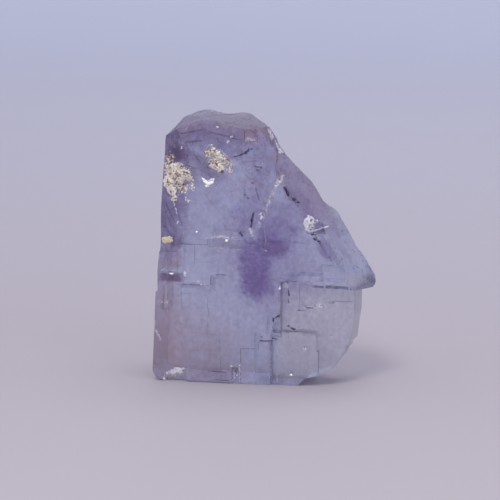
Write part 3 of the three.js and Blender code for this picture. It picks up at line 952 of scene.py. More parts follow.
def zone(tree, coordinates, fine, row, place):
    """The strength of one zone of colour: full at its centre, none beyond its edge."""
    shape, x, z, half_x, half_z, edge, *lean = row
    turn = (
        Matrix.Rotation(ZONE_TILT[1], 3, "Z")
        @ Matrix.Rotation(-ZONE_TILT[0], 3, "X")
        @ Matrix.Rotation(math.radians(lean[0] if lean else 0), 3, "Y")
    )
    local = node(
        tree, "ShaderNodeMapping", place, {"vector_type": "TEXTURE"}, Vector=coordinates,
        Location=((x + SHIFT) * MM, FRONT * MM, z * MM),
        Rotation=turn.to_euler(),
        Scale=(half_x * MM, 1000, half_z * MM),
    ).outputs[0]
    if shape == ROUND:
        reach = reckon_vector(tree, "LENGTH", (place[0] + 180, place[1]), local).outputs["Value"]
    else:
        size = reckon_vector(tree, "ABSOLUTE", (place[0] + 180, place[1]), local)
        parts = node(
            tree, "ShaderNodeSeparateXYZ", (place[0] + 340, place[1]), {}, i0=size.outputs[0]
        )
        reach = reckon(
            tree, "MAXIMUM", (place[0] + 500, place[1]), parts.outputs[0], parts.outputs[2],
        ).outputs[0]
    ragged = reckon(tree, "MULTIPLY_ADD", (place[0] + 660, place[1]), fine, 2.2 * edge, reach)
    return node(
        tree, "ShaderNodeMapRange", (place[0] + 820, place[1]),
        {"interpolation_type": "SMOOTHSTEP"},
        Value=ragged.outputs[0], From_Min=1 + edge, From_Max=1 - edge,
    ).outputs["Result"]


def noise(tree, coordinates, scale, detail, rough, place):
    made = node(
        tree, "ShaderNodeTexNoise", place, {"noise_dimensions": "3D"}, Vector=coordinates,
        Scale=scale, Detail=detail, Roughness=rough,
    )
    return made.outputs["Fac"], made.outputs["Color"]


def blend(tree, factor, under, over, place, mode="MIX"):
    return node(
        tree, "ShaderNodeMix", place,
        {"data_type": "RGBA", "blend_type": mode},
        Factor=factor, i6=under, i7=over,
    ).outputs[2]


def spread(tree, value, low, high, place, least=0.3, most=0.7):
    """Stretches a noise to run from low to high."""
    return node(
        tree, "ShaderNodeMapRange", place, {}, Value=value, From_Min=least, From_Max=most,
        To_Min=low, To_Max=high,
    ).outputs["Result"]


def fluorite_material(look):
    material, tree = blank_material("fluorite")
    at = node(tree, "ShaderNodeTexCoord", (-2600, 0)).outputs["Object"]
    _, drift = noise(tree, at, 300, 3, 0.55, (-2400, -200))
    centred = reckon_vector(tree, "SUBTRACT", (-2200, -200), drift, (0.5, 0.5, 0.5))
    strayed = reckon_vector(
        tree, "MULTIPLY_ADD", (-2000, -200), centred.outputs[0], (0.0022, 0.0022, 0.0022), at,
    ).outputs[0]
    grains, _ = noise(tree, at, 1500, 3, 0.7, (-2400, 300))
    fine = reckon(tree, "SUBTRACT", (-2200, 300), grains, 0.5).outputs[0]

    clouds, _ = noise(tree, at, 190, 5, 0.6, (-2400, 600))
    colour = blend(
        tree,
        spread(tree, clouds, 0, 1, (-1000, 600), 0.38, 0.66),
        (*look.body_colour, 1), (*look.pale_colour, 1), (-800, 600),
    )
    specks, _ = noise(tree, at, 2400, 2, 0.6, (-2400, 450))
    patches, _ = noise(tree, at, 620, 4, 0.65, (-2400, 750))
    for k, (tint, amount, row, *uneven) in enumerate(colour_zones(look)):
        mask = zone(tree, strayed, fine, row, (-2000, -500 - 260 * k))
        if uneven:
            share, coarse = uneven
            amount = spread(
                tree, patches if coarse else specks, amount * (1 - share), amount,
                (-1150, -500 - 260 * k), 0.36, 0.62,
            )
        strength = reckon(tree, "MULTIPLY", (-900, -500 - 260 * k), mask, amount).outputs[0]
        colour = blend(tree, strength, colour, (*tint, 1), (-700, -500 - 260 * k))
    stretched = node(
        tree, "ShaderNodeMapping", (-1400, 450), {}, Vector=at, Scale=(1, 0.6, 0.16)
    ).outputs[0]
    streaks, _ = noise(tree, stretched, 2100, 3, 0.6, (-1200, 450))
    mottle = reckon(
        tree, "MULTIPLY", (-800, 400),
        spread(tree, grains, 0.82, 1.1, (-1000, 300)),
        spread(tree, streaks, 0.94, 1.05, (-1000, 450)),
    )
    colour = node(
        tree, "ShaderNodeVectorMath", (-500, 300), {"operation": "SCALE"}, i0=colour,
        Scale=mottle.outputs[0],
    ).outputs[0]

    finish = node(tree, "ShaderNodeAttribute", (-1400, 900), {"attribute_name": "finish"})
    made = node(tree, "ShaderNodeSeparateXYZ", (-1200, 900), {}, i0=finish.outputs["Vector"])
    # Paleness paints pale chips, and on glint facets and the window's ridge a painted highlight.
    colour = blend(tree, made.outputs[1], colour, (*look.chip_and_glint_colour, 1), (-300, 300))
    # Darkness mixes in the crack shade colour: painted shade in cracks and on shaded and dim faces.
    colour = blend(tree, made.outputs[2], colour, (*look.crack_shade_colour, 1), (-100, 300))
    roughness = reckon(tree, "MULTIPLY_ADD", (-300, 700), fine, 0.25, made.outputs[0]).outputs[0]
    worn_edge = node(tree, "ShaderNodeBevel", (-500, 0), {"samples": 4}, Radius=look.edge_wear)
    bump = node(
        tree, "ShaderNodeBump", (-300, 0), {}, Strength=0.2, Distance=0.00003, Height=grains,
        Normal=worn_edge.outputs[0],
    )
    shader = node(
        tree, "ShaderNodeBsdfPrincipled", (200, 300), {}, Base_Color=colour, Roughness=roughness,
        Normal=bump.outputs[0],
    )
    shader.inputs["Transmission Weight"].default_value = look.clearness
    shader.inputs["IOR"].default_value = FLUORITE_IOR
    inside = node(tree, "ShaderNodeVolumeAbsorption", (200, -300))
    inside.inputs["Color"].default_value = (*look.inside_colour, 1)
    inside.inputs["Density"].default_value = look.inside_density
    out = show(tree, shader, (500, 300))
    tree.links.new(inside.outputs[0], out.inputs["Volume"])
    return material


# The zones of colour run through the crystal from front to back at this small tilt.
ZONE_TILT = (0.11, 0.158)
ROUND, SQUARE = range(2)


def colour_zones(look):
    """Rows of (colour, strength, shape), and where a zone is uneven how much and how coarsely.

    A shape is (kind, x, z, half width, half height, softness of the edge), and a lean in degrees.
    """
    core, dark, mauve = look.core_colour, look.dark_colour, look.mauve_colour
    grey, deep = look.grey_colour, look.deep_colour
    return [
        (grey, 0.85, (SQUARE, 8.3, 6.2, 6.3, 6.9, 0.08)),
        # The slot's ledge and band are greyed with the tip colour: painted shade.
        (look.tip_colour, 0.5, (SQUARE, 4.9, 6.85, 2.3, 0.3, 0.15, 2)),
        (look.pale_colour, 0.45, (ROUND, -5.6, 22.4, 3.4, 3.0, 0.7)),
        (look.pale_colour, 0.6, (ROUND, -7, 8.4, 4.4, 3.6, 0.8), 0.6, 1),
        (look.pale_colour, 0.5, (ROUND, -0.5, 3.0, 2.4, 2.6, 0.8)),
        (mauve, 0.8, (ROUND, -9.5, 4.0, 5.5, 4.6, 0.7), 0.6, 1),
        (dark, 0.75, (SQUARE, 3.4, 0.3, 3.0, 0.8, 0.4), 0.6, 1),
        # A dark band down the groove: painted shade.
        (dark, 0.3, (SQUARE, 1.45, 3.0, 0.22, 2.8, 0.3)),
        # The mauve strips along the left side and along the bottom paint the darker internal reflection
        # there: painted reflection.
        (mauve, 0.75, (SQUARE, -14.4, 6.2, 3.0, 8.5, 0.5)),
        (mauve, 0.55, (SQUARE, -7.5, 0.4, 6.6, 1.5, 0.5)),
        (dark, 0.3, (SQUARE, -6.2, 0.9, 2.6, 0.4, 0.5)),
        (mauve, 0.7, (SQUARE, -12.2, 15.9, 1.25, 1.25, 0.08), 0.4, 1),
        (mauve, 0.9, (ROUND, -5.5, 33.2, 9.0, 1.5, 0.4), 0.3, 1),
        (mauve, 0.6, (ROUND, -12.8, 31.0, 2.4, 2.2, 0.5)),
        (look.pink_colour, 0.7, (SQUARE, -1.65, 31.9, 0.95, 0.85, 0.12)),
        (look.pink_colour, 0.5, (ROUND, 0.3, 31.9, 1.4, 1.2, 0.5)),
        (deep, 0.45, (ROUND, -5.8, 25.6, 5.2, 8.0, 0.6), 0.9, 1),
        (deep, 0.85, (ROUND, -12.6, 24.6, 2.6, 8.5, 0.5)),
        (dark, 0.75, (ROUND, -12.6, 22.4, 1.7, 3.8, 0.6), 0.9, 1),
        (dark, 0.95, (ROUND, -11.2, 29.5, 1.5, 1.1, 0.6)),
        # These two dark spots inside take the same near-black crack shade colour.
        (look.crack_shade_colour, 0.45, (ROUND, -11.5, 29.6, 0.9, 0.7, 0.6), 0.6, 0),
        (look.crack_shade_colour, 0.3, (ROUND, -12.9, 20.4, 0.5, 1.2, 0.6), 0.8, 0),
        (dark, 0.6, (ROUND, -12.0, 31.4, 2.0, 0.9, 0.6)),
        (dark, 0.6, (ROUND, -8.9, 28.4, 1.9, 2.0, 0.7), 0.8, 1),
        (dark, 0.7, (ROUND, -6.0, 31.6, 5.6, 1.7, 0.6, 12), 0.95, 1),
        (deep, 0.5, (ROUND, -6.5, 31.2, 5.0, 1.5, 0.6, 12)),
        (dark, 0.4, (ROUND, -7.6, 27.3, 2.4, 0.9, 0.6, 20), 0.7, 1),
        (dark, 0.7, (SQUARE, -11.2, 18.0, 0.65, 0.75, 0.25)),
        (dark, 0.9, (SQUARE, -11.9, 13.5, 1.4, 0.5, 0.3)),
        # A dark strip under the plateau's ledge, which faces down: painted shade.
        (dark, 0.3, (SQUARE, -8.3, 12.4, 2.2, 0.26, 0.25, 4)),
        (dark, 0.26, (SQUARE, -6.25, 13.2, 0.42, 0.8, 0.12)),
        (deep, 0.6, (ROUND, -2.3, 21.2, 1.9, 1.7, 0.7), 0.5, 1),
        (deep, 0.5, (ROUND, -0.6, 24.5, 1.5, 3.5, 0.7), 0.4, 1),
        (deep, 0.6, (ROUND, 0.6, 29.2, 2.2, 3.0, 0.7), 0.4, 1),
        (mauve, 0.7, (ROUND, 5.2, 25.6, 1.7, 6.0, 0.5, -33)),
        (deep, 0.6, (ROUND, 5.6, 24.4, 1.8, 5.6, 0.5, -33), 0.4, 1),
        (dark, 0.45, (ROUND, 4.9, 23.9, 0.5, 3.0, 0.6, -38)),
        (deep, 0.85, (ROUND, 8.2, 17.9, 0.8, 1.6, 0.25, -30)),
        (deep, 0.6, (ROUND, 7.4, 19.4, 0.25, 1.6, 0.4, -33)),
        (deep, 0.45, (ROUND, 9.8, 16.2, 0.22, 1.8, 0.4, -38)),
        (deep, 0.3, (ROUND, 9.6, 19.3, 0.5, 4.2, 0.3, -30)),
        (core, 0.4, (ROUND, 1.0, 16.6, 4.8, 6.4, 0.8)),
        (core, 0.98, (ROUND, -0.85, 15.4, 2.15, 3.1, 0.3), 0.5, 0),
        (core, 0.9, (ROUND, -0.9, 13.2, 2.0, 1.7, 0.35), 0.5, 0),
        (core, 0.5, (ROUND, -0.3, 12.0, 2.1, 1.3, 0.6), 0.5, 0),
        (core, 1.0, (ROUND, 2.2, 17.6, 1.5, 1.2, 0.5), 0.6, 1),
        (core, 0.9, (ROUND, 1.1, 18.9, 1.4, 1.9, 0.5), 0.8, 1),
        (core, 0.8, (ROUND, 2.4, 20.0, 2.3, 1.8, 0.6), 0.95, 1),
        (dark, 0.6, (ROUND, 2.5, 17.5, 1.0, 0.8, 0.5), 0.9, 0),
        (dark, 0.4, (ROUND, 0.7, 18.2, 0.9, 1.2, 0.5), 0.9, 0),
        (deep, 0.5, (ROUND, 3.2, 22.3, 2.6, 1.6, 0.7)),
        (look.tip_colour, 0.9, (ROUND, 13.9, 13.3, 1.8, 1.2, 0.35)),
    ]


def matrix_material(name, colours):
    """Grains whose colour runs, by their tone, through four colours, with a sugary surface."""
    material, tree = blank_material(name)
    at = node(tree, "ShaderNodeTexCoord", (-1200, 0)).outputs["Object"]
    tone = node(tree, "ShaderNodeAttribute", (-1200, 300), {"attribute_name": "tone"})
    patches, _ = noise(tree, at, 1500, 4, 0.7, (-1000, 0))
    mixed = reckon(
        tree, "ADD", (-600, 400),
        spread(tree, patches, -0.25, 0.65, (-800, 0), 0.38, 0.62),
        tone.outputs["Fac"],
    )
    ramp = node(tree, "ShaderNodeValToRGB", (-600, 200), {}, Fac=mixed.outputs[0])
    stops = ramp.color_ramp.elements
    for _ in colours[2:]:
        stops.new(0.5)
    for stop, place, colour in zip(stops, (0.08, 0.32, 0.56, 0.95), colours):
        stop.position = place
        stop.color = (*colour, 1)
    pits, _ = noise(tree, at, 6000, 3, 0.7, (-1000, -300))
    bump = node(
        tree, "ShaderNodeBump", (-300, -200), {}, Strength=0.5, Distance=0.00006, Height=pits
    )
    shader = node(
        tree, "ShaderNodeBsdfPrincipled", (0, 0), {}, Base_Color=ramp.outputs[0],
        Roughness=spread(tree, patches, 0.45, 0.85, (-300, 0)),
        Normal=bump.outputs[0],
    )
    shader.inputs["Subsurface Weight"].default_value = 0.15
    shader.inputs["Subsurface Scale"].default_value = 0.0003
    show(tree, shader, (300, 0))
    return material


# The pieces

def settle(ob):
    """Moves a piece from the crystal's own millimetres into the frame's metres."""
    ob.data.transform(Matrix.Scale(MM, 4) @ Matrix.Translation((SHIFT, 0, 0)))


def note_finish(ob, look, material):
    """Keeps how each face was made as (roughness, paleness, darkness), and gives one material. The
    darkness is painted shade; the paleness is pale chips and, on glint facets, painted highlight.
    """
    mesh = ob.data
    slots = [m.name if m else FINISH_NAMES[CLEAVED] for m in mesh.materials]
    kinds = np.zeros(len(mesh.polygons), dtype=np.int32)
    mesh.polygons.foreach_get("material_index", kinds)
    centres = np.zeros(3 * len(mesh.polygons))
    mesh.polygons.foreach_get("center", centres)
    kinds = np.array([FINISH_NAMES.index(name) for name in slots])[kinds]
    table = np.array([
        (look.cleaved_roughness, 0, 0),
        (look.broken_roughness, 0, 0),
        # chipped faces: paled, pale chips and in part painted sparkle
        (0.4, 0.8, 0),
        # cracked faces: painted shade in the open cracks
        (0.5, 0, 0.88),
        # glint faces: paled, a painted highlight
        (0.16, 0.5, 0),
        (look.cleaved_roughness + 0.05, 0, 0),
        # shaded and dim faces: painted shade on edges, sills, grooves and scratches
        (0.25, 0, look.painted_edge_shade),
        (0.2, 0, 0.4 * look.painted_edge_shade),
    ])
    values = table[kinds]
    rear = (centres[1::3] > FROSTED_BEHIND) & (kinds == CLEAVED)
    values[rear, 0] = look.rear_roughness
    attribute = mesh.attributes.new("finish", "FLOAT_VECTOR", "FACE")
    attribute.data.foreach_set("vector", values.astype(np.float32).ravel())
    soften(mesh, (kinds == BROKEN) | (kinds == ETCHED))
    mesh.materials.clear()
    mesh.materials.append(material)


def soften(mesh, broken):
    """Broken surfaces are shaded smooth; every edge of a flat cleavage stays sharp."""
    bm = bmesh.new()
    bm.from_mesh(mesh)
    limit = math.radians(38)
    for face in bm.faces:
        face.smooth = bool(broken[face.index])
    for edge in bm.edges:
        if len(edge.link_faces) == 2:
            a, b = edge.link_faces
            edge.smooth = a.smooth and b.smooth and edge.calc_face_angle(0) < limit
    bm.to_mesh(mesh)
    bm.free()


def cut_crystal():
    cutters = [broken_top(), front_bevels(), back_bevel(), broken_back(), back_left_corner()]
    cutters += left_side() + broken_tip() + front_steps() + back_steps() + chips()
    cutters += fine_steps()
    cutters += small_marks()
    return combine("crystal", growth(), cutters, "DIFFERENCE")


LEFT_CLUMPS = [
    # (x, z, radius, grains, grain radius, how much paler than usual)
    (-11.7, 27.2, 1.0, 190, 0.15, 0.1),
    (-10.9, 27.5, 0.7, 80, 0.14, -0.05),
    (-10.1, 26.8, 0.7, 60, 0.13, -0.1),
    (-12.5, 28.4, 0.7, 40, 0.11, -0.2),
    (-12.6, 27.3, 0.6, 60, 0.13, -0.15),
    (-12.4, 25.7, 0.75, 120, 0.15, 0.05),
    (-11.9, 24.7, 0.65, 90, 0.14, 0.05),
    (-11.15, 25.9, 0.7, 60, 0.13, -0.25),
    (-11.45, 26.3, 0.7, 80, 0.14, -0.1),
    (-10.7, 25.4, 0.6, 30, 0.12, -0.3),
    (-10.2, 24.85, 0.7, 24, 0.11, -0.05),
    (-9.4, 25.3, 0.5, 14, 0.1, 0.1),
    (-11.6, 23.7, 0.45, 24, 0.11, -0.1),
    (-9.6, 26.2, 0.5, 22, 0.11, -0.25),
    (-11.9, 28.8, 0.5, 20, 0.1, -0.25),
]
UPPER_CLUMPS = [
    (-7.15, 29.5, 0.4, 34, 0.11, -0.15),
    (-6.6, 29.85, 0.5, 60, 0.13, 0.0),
    (-6.0, 29.3, 0.6, 90, 0.14, 0.1),
    (-6.5, 28.2, 0.6, 80, 0.13, -0.05),
    (-5.85, 28.0, 0.6, 100, 0.14, 0.05),
    (-5.5, 27.5, 0.45, 46, 0.13, -0.05),
    (-5.2, 28.6, 0.5, 44, 0.12, 0.0),
    (-4.5, 28.5, 0.55, 30, 0.11, -0.25),
    (-4.3, 27.6, 0.5, 26, 0.11, -0.1),
    (-4.9, 29.2, 0.4, 14, 0.1, -0.3),
]
OCHRE_CLUMPS = [(-12.8, 18.25, 0.45, 60, 0.13, 0.2), (-12.25, 18.3, 0.4, 44, 0.13, 0.2)]


def twenty_faces():
    """The corners and the faces of the twenty-faced body that every grain starts from."""
    bm = bmesh.new()
    bmesh.ops.create_icosphere(bm, subdivisions=1, radius=1)
    corners = np.array([vert.co[:] for vert in bm.verts])
    faces = np.array([[vert.index for vert in face.verts] for face in bm.faces])
    bm.free()
    return corners, faces


GRAIN_CORNERS, GRAIN_FACES = twenty_faces()


def grain_corners(chance, centre, stretch, turn):
    """The corners of one angular grain: a stretched, turned and dented twenty-faced body."""
    dents = np.array([chance.uniform(0.7, 1.2) for _ in GRAIN_CORNERS])[:, None]
    return np.asarray(centre) + (GRAIN_CORNERS * dents * stretch) @ np.array(turn).T


# A shard is a thin six-sided plate: its upper six corners first, then its lower six.
SHARD_FACES = [list(range(6)), list(range(11, 5, -1))]
SHARD_FACES += [[i, i + 6, (i + 1) % 6 + 6, (i + 1) % 6] for i in range(6)]


def shard_corners(chance, centre, wide, tall, turn):
    ring = []
    for i in range(6):
        angle = math.pi / 3 * (i + chance.uniform(-0.35, 0.35))
        reach = chance.uniform(0.6, 1.1)
        ring.append((wide * reach * math.cos(angle), tall * reach * math.sin(angle)))
    flat = [(x, y, side * SHARD_THICKNESS / 2) for side in (1, -1) for x, y in ring]
    return np.asarray(centre) + np.array(flat) @ np.array(turn).T


def grain_mesh(name, grains, sides):
    """One mesh of many grains, given as (corners, tone), with each face's tone."""
    corners = np.concatenate([grain for grain, _ in grains])
    corners[:, 1] = np.maximum(corners[:, 1], FRONT)
    each = len(grains[0][0])
    faces = [[each * k + i for i in side] for k in range(len(grains)) for side in sides]
    mesh = bpy.data.meshes.new(name)
    mesh.from_pydata(corners, [], faces)
    tone = mesh.attributes.new("tone", "FLOAT", "FACE")
    tones = np.repeat([shade for _, shade in grains], len(sides)).astype(np.float32)
    tone.data.foreach_set("value", tones)
    return bpy.data.objects.new(name, mesh)


def crust(name, clumps, crumbs, seed):
    """Angular grains heaped in clumps on the floor of the window, with crumbs strewn round them."""
    chance = random.Random(seed)
    grains = []

    def add(x, z, reach, least, most, proud, radius, shade):
        turn, away = chance.uniform(0, 2 * math.pi), reach * chance.uniform(least**2, most**2) ** 0.5
        if x + away * math.cos(turn) < left_wall(z + away * math.sin(turn)) + 1.2 * radius:
            return
        dome = math.sqrt(max(0, 1 - (away / reach) ** 2))
        centre = (
            x + away * math.cos(turn), WINDOW - proud * dome + 0.3 * radius, z + away * math.sin(turn)
        )
        stretch = radius * np.array([chance.uniform(0.75, 1.25) for _ in range(3)])
        spin = Matrix.Rotation(chance.uniform(0, 6.28), 3, Vector((0.3, 0.5, 0.8)))
        spin = spin @ Matrix.Rotation(chance.uniform(0, 6.28), 3, "X")
        grains.append((grain_corners(chance, centre, stretch, spin), shade))

    for x, z, reach, count, size, pale in clumps:
        for _ in range(max(2, count // 6)):
            add(x, z, reach, 0, 0.65, 0, 0.3 * reach, 0.3 + pale)
        for _ in range(int(1.3 * count)):
            radius = size * chance.choice((0.35, 0.5, 0.6, 0.75, 0.9, 1.1))
            add(x, z, reach, 0, 1, 0.42 * chance.random(), radius, chance.random() ** 0.8 + pale)
        for _ in range(int(count * crumbs)):
            radius = size * chance.uniform(0.15, 0.4)
            add(x, z, reach, 0.7, 1.8, 0, radius, chance.uniform(0.2, 1) + pale)
    return grain_mesh(name, grains, GRAIN_FACES.tolist())


# Bruise and glint shards: thin pale shards on the front, in patches and along edges; crushed crystal in
# part, painted highlights in part

BRUISES_AND_GLINTS = [
    # (outline as (x, z) points, shards, shard size, least tone)
    (
        [
            (-8.04, 26.51), (-7.65, 26.14), (-7.25, 25.96), (-6.86, 26.29), (-6.4, 26.3),
            (-6.47, 25.85), (-6.73, 25.65), (-7.06, 25.58), (-7.32, 25.25), (-7.52, 25.37),
            (-7.39, 25.63), (-7.65, 25.88),
        ],
        220, 0.12, 0.95,
    ),
    ([(5.26, 21.03), (5.91, 22.07), (6.5, 21.5), (6.4, 19.95), (6.04, 19.91)], 130, 0.2, 0.35),
    ([(6.3, 21.6), (6.9, 21.3), (6.8, 20.3), (6.3, 19.95)], 26, 0.16, 0.0),
    ([(6.1, 20.0), (8.1, 20.55), (8.15, 20.42), (6.2, 19.85)], 90, 0.08, 0.6),
    ([(0.58, 32.99), (0.97, 32.75), (1.35, 32.0), (1.22, 31.49), (0.84, 31.99)], 40, 0.16, 0.0),
    ([(1.6, 31.38), (1.95, 30.88), (2.5, 29.9), (2.2, 29.75), (1.85, 30.37)], 50, 0.16, 0.2),
    ([(1.74, 26.17), (2.13, 26.82), (2.65, 26.7), (2.39, 26.06), (1.87, 25.66)], 34, 0.2, 0.1),
    (
        [
            (-13.04, 0.25), (-12.5, 1.13), (-11.56, 1.7), (-10.23, 1.76), (-10.63, 0.96),
            (-11.84, 0.5),
        ],
        120, 0.26, 0.25,
    ),
    ([(-2.4, 31.2), (-1.1, 31.2), (-1.1, 31.5), (-2.4, 31.7)], 26, 0.13, 0.3),
    ([(2.2, 12.5), (3.0, 12.5), (2.9, 13.05), (2.2, 13.05)], 40, 0.14, 0.6),
    ([(-3.95, 0.3), (-3.7, 0.3), (-3.6, 2.2), (-3.95, 2.3)], 26, 0.14, 0.2),
    ([(-4.9, 18.4), (-4.4, 18.4), (-4.5, 18.62), (-4.9, 18.6)], 16, 0.14, 0.9),
]

# Lines of pale shards that stand for sparkles along edges and ridges: painted highlights.
SPARKLES = [
    # (x, z, x, z, spread, shards, shard size, least tone)
    (-7.6, 18.7, -6.0, 18.84, 0.07, 26, 0.1, 0.2),
    (-6.2, 18.82, -5.2, 18.9, 0.1, 22, 0.12, 0.4),
    (-5.2, 18.8, -3.9, 18.82, 0.08, 24, 0.1, 0.3),
    (-8.9, 17.98, -7.3, 17.92, 0.05, 16, 0.09, 0.0),
    (-7.0, 17.5, -4.6, 17.5, 0.05, 24, 0.09, 0.1),
    (-4.6, 17.5, -2.2, 17.35, 0.05, 16, 0.09, 0.0),
    (-13.6, 14.4, -11.6, 14.35, 0.05, 18, 0.1, 0.0),
    (2.65, 27.09, 2.1, 26.3, 0.12, 12, 0.13, 0.4),
    (1.9, 25.7, 1.1, 24.4, 0.16, 20, 0.13, 0.2),
    (1.1, 24.3, 0.6, 23.2, 0.18, 22, 0.13, 0.2),
    (0.5, 23.0, -0.0, 21.9, 0.12, 12, 0.12, 0.2),
    (-0.05, 21.8, -0.1, 21.4, 0.12, 16, 0.16, 0.8),
    (-0.3, 21.0, -0.6, 20.2, 0.1, 10, 0.12, 0.2),
    (-1.71, 20.1, -1.35, 19.1, 0.06, 20, 0.12, 0.3),
    (4.2, 9.5, 5.3, 9.75, 0.08, 14, 0.1, 0.1),
    (5.3, 10.1, 6.7, 10.02, 0.06, 16, 0.1, 0.1),
    (6.7, 10.1, 7.3, 10.35, 0.14, 16, 0.12, 0.6),
    (7.3, 10.3, 8.3, 10.5, 0.06, 10, 0.1, 0.1),
    (8.3, 10.95, 9.2, 10.85, 0.06, 12, 0.1, 0.2),
    (2.8, 6.75, 6.6, 6.72, 0.06, 30, 0.12, 0.0),
    (1.4, 7.2, 2.4, 7.8, 0.2, 12, 0.11, 0.2),
    (2.7, 7.6, 4.4, 7.4, 0.16, 14, 0.1, 0.2),
    (-12.1, 14.0, -11.5, 13.95, 0.05, 8, 0.13, 0.9),
    (-10.15, 14.35, -10.05, 13.7, 0.06, 10, 0.13, 0.7),
    (-9.1, 13.1, -8.0, 13.14, 0.05, 12, 0.1, 0.4),
    (-8.1, 12.75, -6.7, 12.6, 0.08, 10, 0.1, 0.5),
    (-8.75, 19.45, -8.6, 19.4, 0.06, 8, 0.13, 0.95),
    (-11.8, 23.5, -11.6, 23.4, 0.07, 8, 0.14, 0.95),
    (-11.7, 23.2, -11.2, 21.6, 0.03, 16, 0.1, 0.4),
    (-11.2, 20.7, -11.1, 20.55, 0.05, 6, 0.13, 0.8),
    (-10.7, 30.4, -10.6, 29.9, 0.05, 8, 0.12, 0.7),
    (-6.8, 30.6, -6.6, 30.7, 0.06, 8, 0.12, 0.5),
    (-4.7, 31.05, -4.5, 31.1, 0.05, 8, 0.12, 0.7),
    (-4.3, 31.7, -3.9, 31.75, 0.05, 8, 0.12, 0.5),
    (-6.0, 32.9, -5.85, 32.9, 0.04, 6, 0.12, 0.7),
    (-9.9, 25.4, -9.1, 24.9, 0.14, 12, 0.13, 0.5),
    (-10.2, 23.7, -9.6, 23.4, 0.1, 10, 0.13, 0.5),
    (-9.6, 23.4, -8.2, 23.2, 0.04, 8, 0.09, 0.1),
    (3.65, 1.3, 3.8, 1.45, 0.08, 8, 0.16, 0.9),
    (5.35, 4.75, 5.55, 4.75, 0.08, 6, 0.13, 0.4),
    (8.5, 6.3, 8.85, 6.35, 0.1, 10, 0.14, 0.3),
    (-13.95, 6.5, -13.4, 5.3, 0.05, 20, 0.12, 0.2),
    (-13.4, 10.25, -12.3, 10.2, 0.04, 8, 0.1, 0.1),
    (-10.1, 32.45, -9.5, 33.4, 0.05, 10, 0.1, 0.0),
    (-2.9, 2.2, -2.85, 0.4, 0.04, 14, 0.1, 0.1),
    (1.85, 5.2, 1.85, 0.4, 0.03, 50, 0.1, 0.1),
    (1.05, 4.6, 1.05, 0.4, 0.03, 30, 0.08, 0.0),
]


def inside_outline(x, z, outline):
    """Whether a point lies inside an outline, by counting the sides to its right."""
    within = False
    for (x0, z0), (x1, z1) in zip(outline, outline[1:] + outline[:1]):
        if (z0 > z) != (z1 > z) and x < x0 + (z - z0) * (x1 - x0) / (z1 - z0):
            within = not within
    return within


def shard_places(chance):
    """Where each shard lies on the broad face, with its size and tone."""
    for outline, count, size, least in BRUISES_AND_GLINTS:
        lows = [min(p[k] for p in outline) for k in (0, 1)]
        highs = [max(p[k] for p in outline) for k in (0, 1)]
        made = 0
        while made < count:
            x, z = (chance.uniform(low, high) for low, high in zip(lows, highs))
            if inside_outline(x, z, outline):
                made += 1
                yield x, z, size, least
    for x0, z0, x1, z1, off, count, size, least in SPARKLES:
        for _ in range(count):
            t = chance.random()
            x = x0 + t * (x1 - x0) + chance.gauss(0, off)
            z = z0 + t * (z1 - z0) + chance.gauss(0, off)
            yield x, z, size, least


def bruised_and_glinting(crystal):
    """Flat shards laid on the crystal's front: crushed crystal in part and painted highlights in part,
    the whitest turned to the lamp. The tilted ones dip in, by 0.12 mm at most.
    """
    chance = random.Random(77)
    skin = BVHTree.FromObject(crystal, bpy.context.evaluated_depsgraph_get())
    shards = []
    for x, z, size, least in shard_places(chance):
        start = Vector((x + SHIFT, 3 * FRONT, z)) * MM
        hit, facing, _, _ = skin.ray_cast(start, Vector((0, 1, 0)))
        if hit is None or abs(facing.y) < 0.2:
            continue
        lit = least >= 0.9
        tilt = Vector([chance.gauss(0, 0.06 if lit else 0.14) for _ in range(3)])
        way = (Vector(GLINT_FACING) if lit else facing) + tilt
        turn = way.normalized().to_track_quat("Z", "Y").to_matrix()
        turn = turn @ Matrix.Rotation(chance.uniform(0, 6.28), 3, "Z")
        wide, tall = size * chance.uniform(0.4, 1), size * chance.uniform(0.4, 1)
        centre = hit / MM + facing * chance.uniform(0.01, 0.04) - Vector((SHIFT, 0, 0))
        corners = shard_corners(chance, centre, wide, tall, turn)
        shards.append((corners, chance.uniform(least, min(1, least + 0.45))))
    return grain_mesh("bruises", shards, SHARD_FACES)


def bruise_and_glint_material(look):
    """Crushed fluorite and painted highlights, from a dull lilac to white by each shard's tone."""
    material, tree = blank_material("bruise_and_glint")
    tone = node(tree, "ShaderNodeAttribute", (-600, 200), {"attribute_name": "tone"})
    colour = blend(
        tree, tone.outputs["Fac"], (*look.dull_colour, 1), (*look.bright_colour, 1), (-300, 200)
    )
    shader = node(tree, "ShaderNodeBsdfPrincipled", (0, 0), {}, Base_Color=colour)
    shader.inputs["Roughness"].default_value = look.roughness
    show(tree, shader, (300, 0))
    return material


# Sizes and colours that a user would change

def colour_choice(name, text, value):
    return FloatVectorProperty(
        name=name, description=text, subtype="COLOR", default=value, min=0, max=1
    )


def share_choice(name, text, value):
    return FloatProperty(name=name, description=text, default=value, min=0, max=1, subtype="FACTOR")


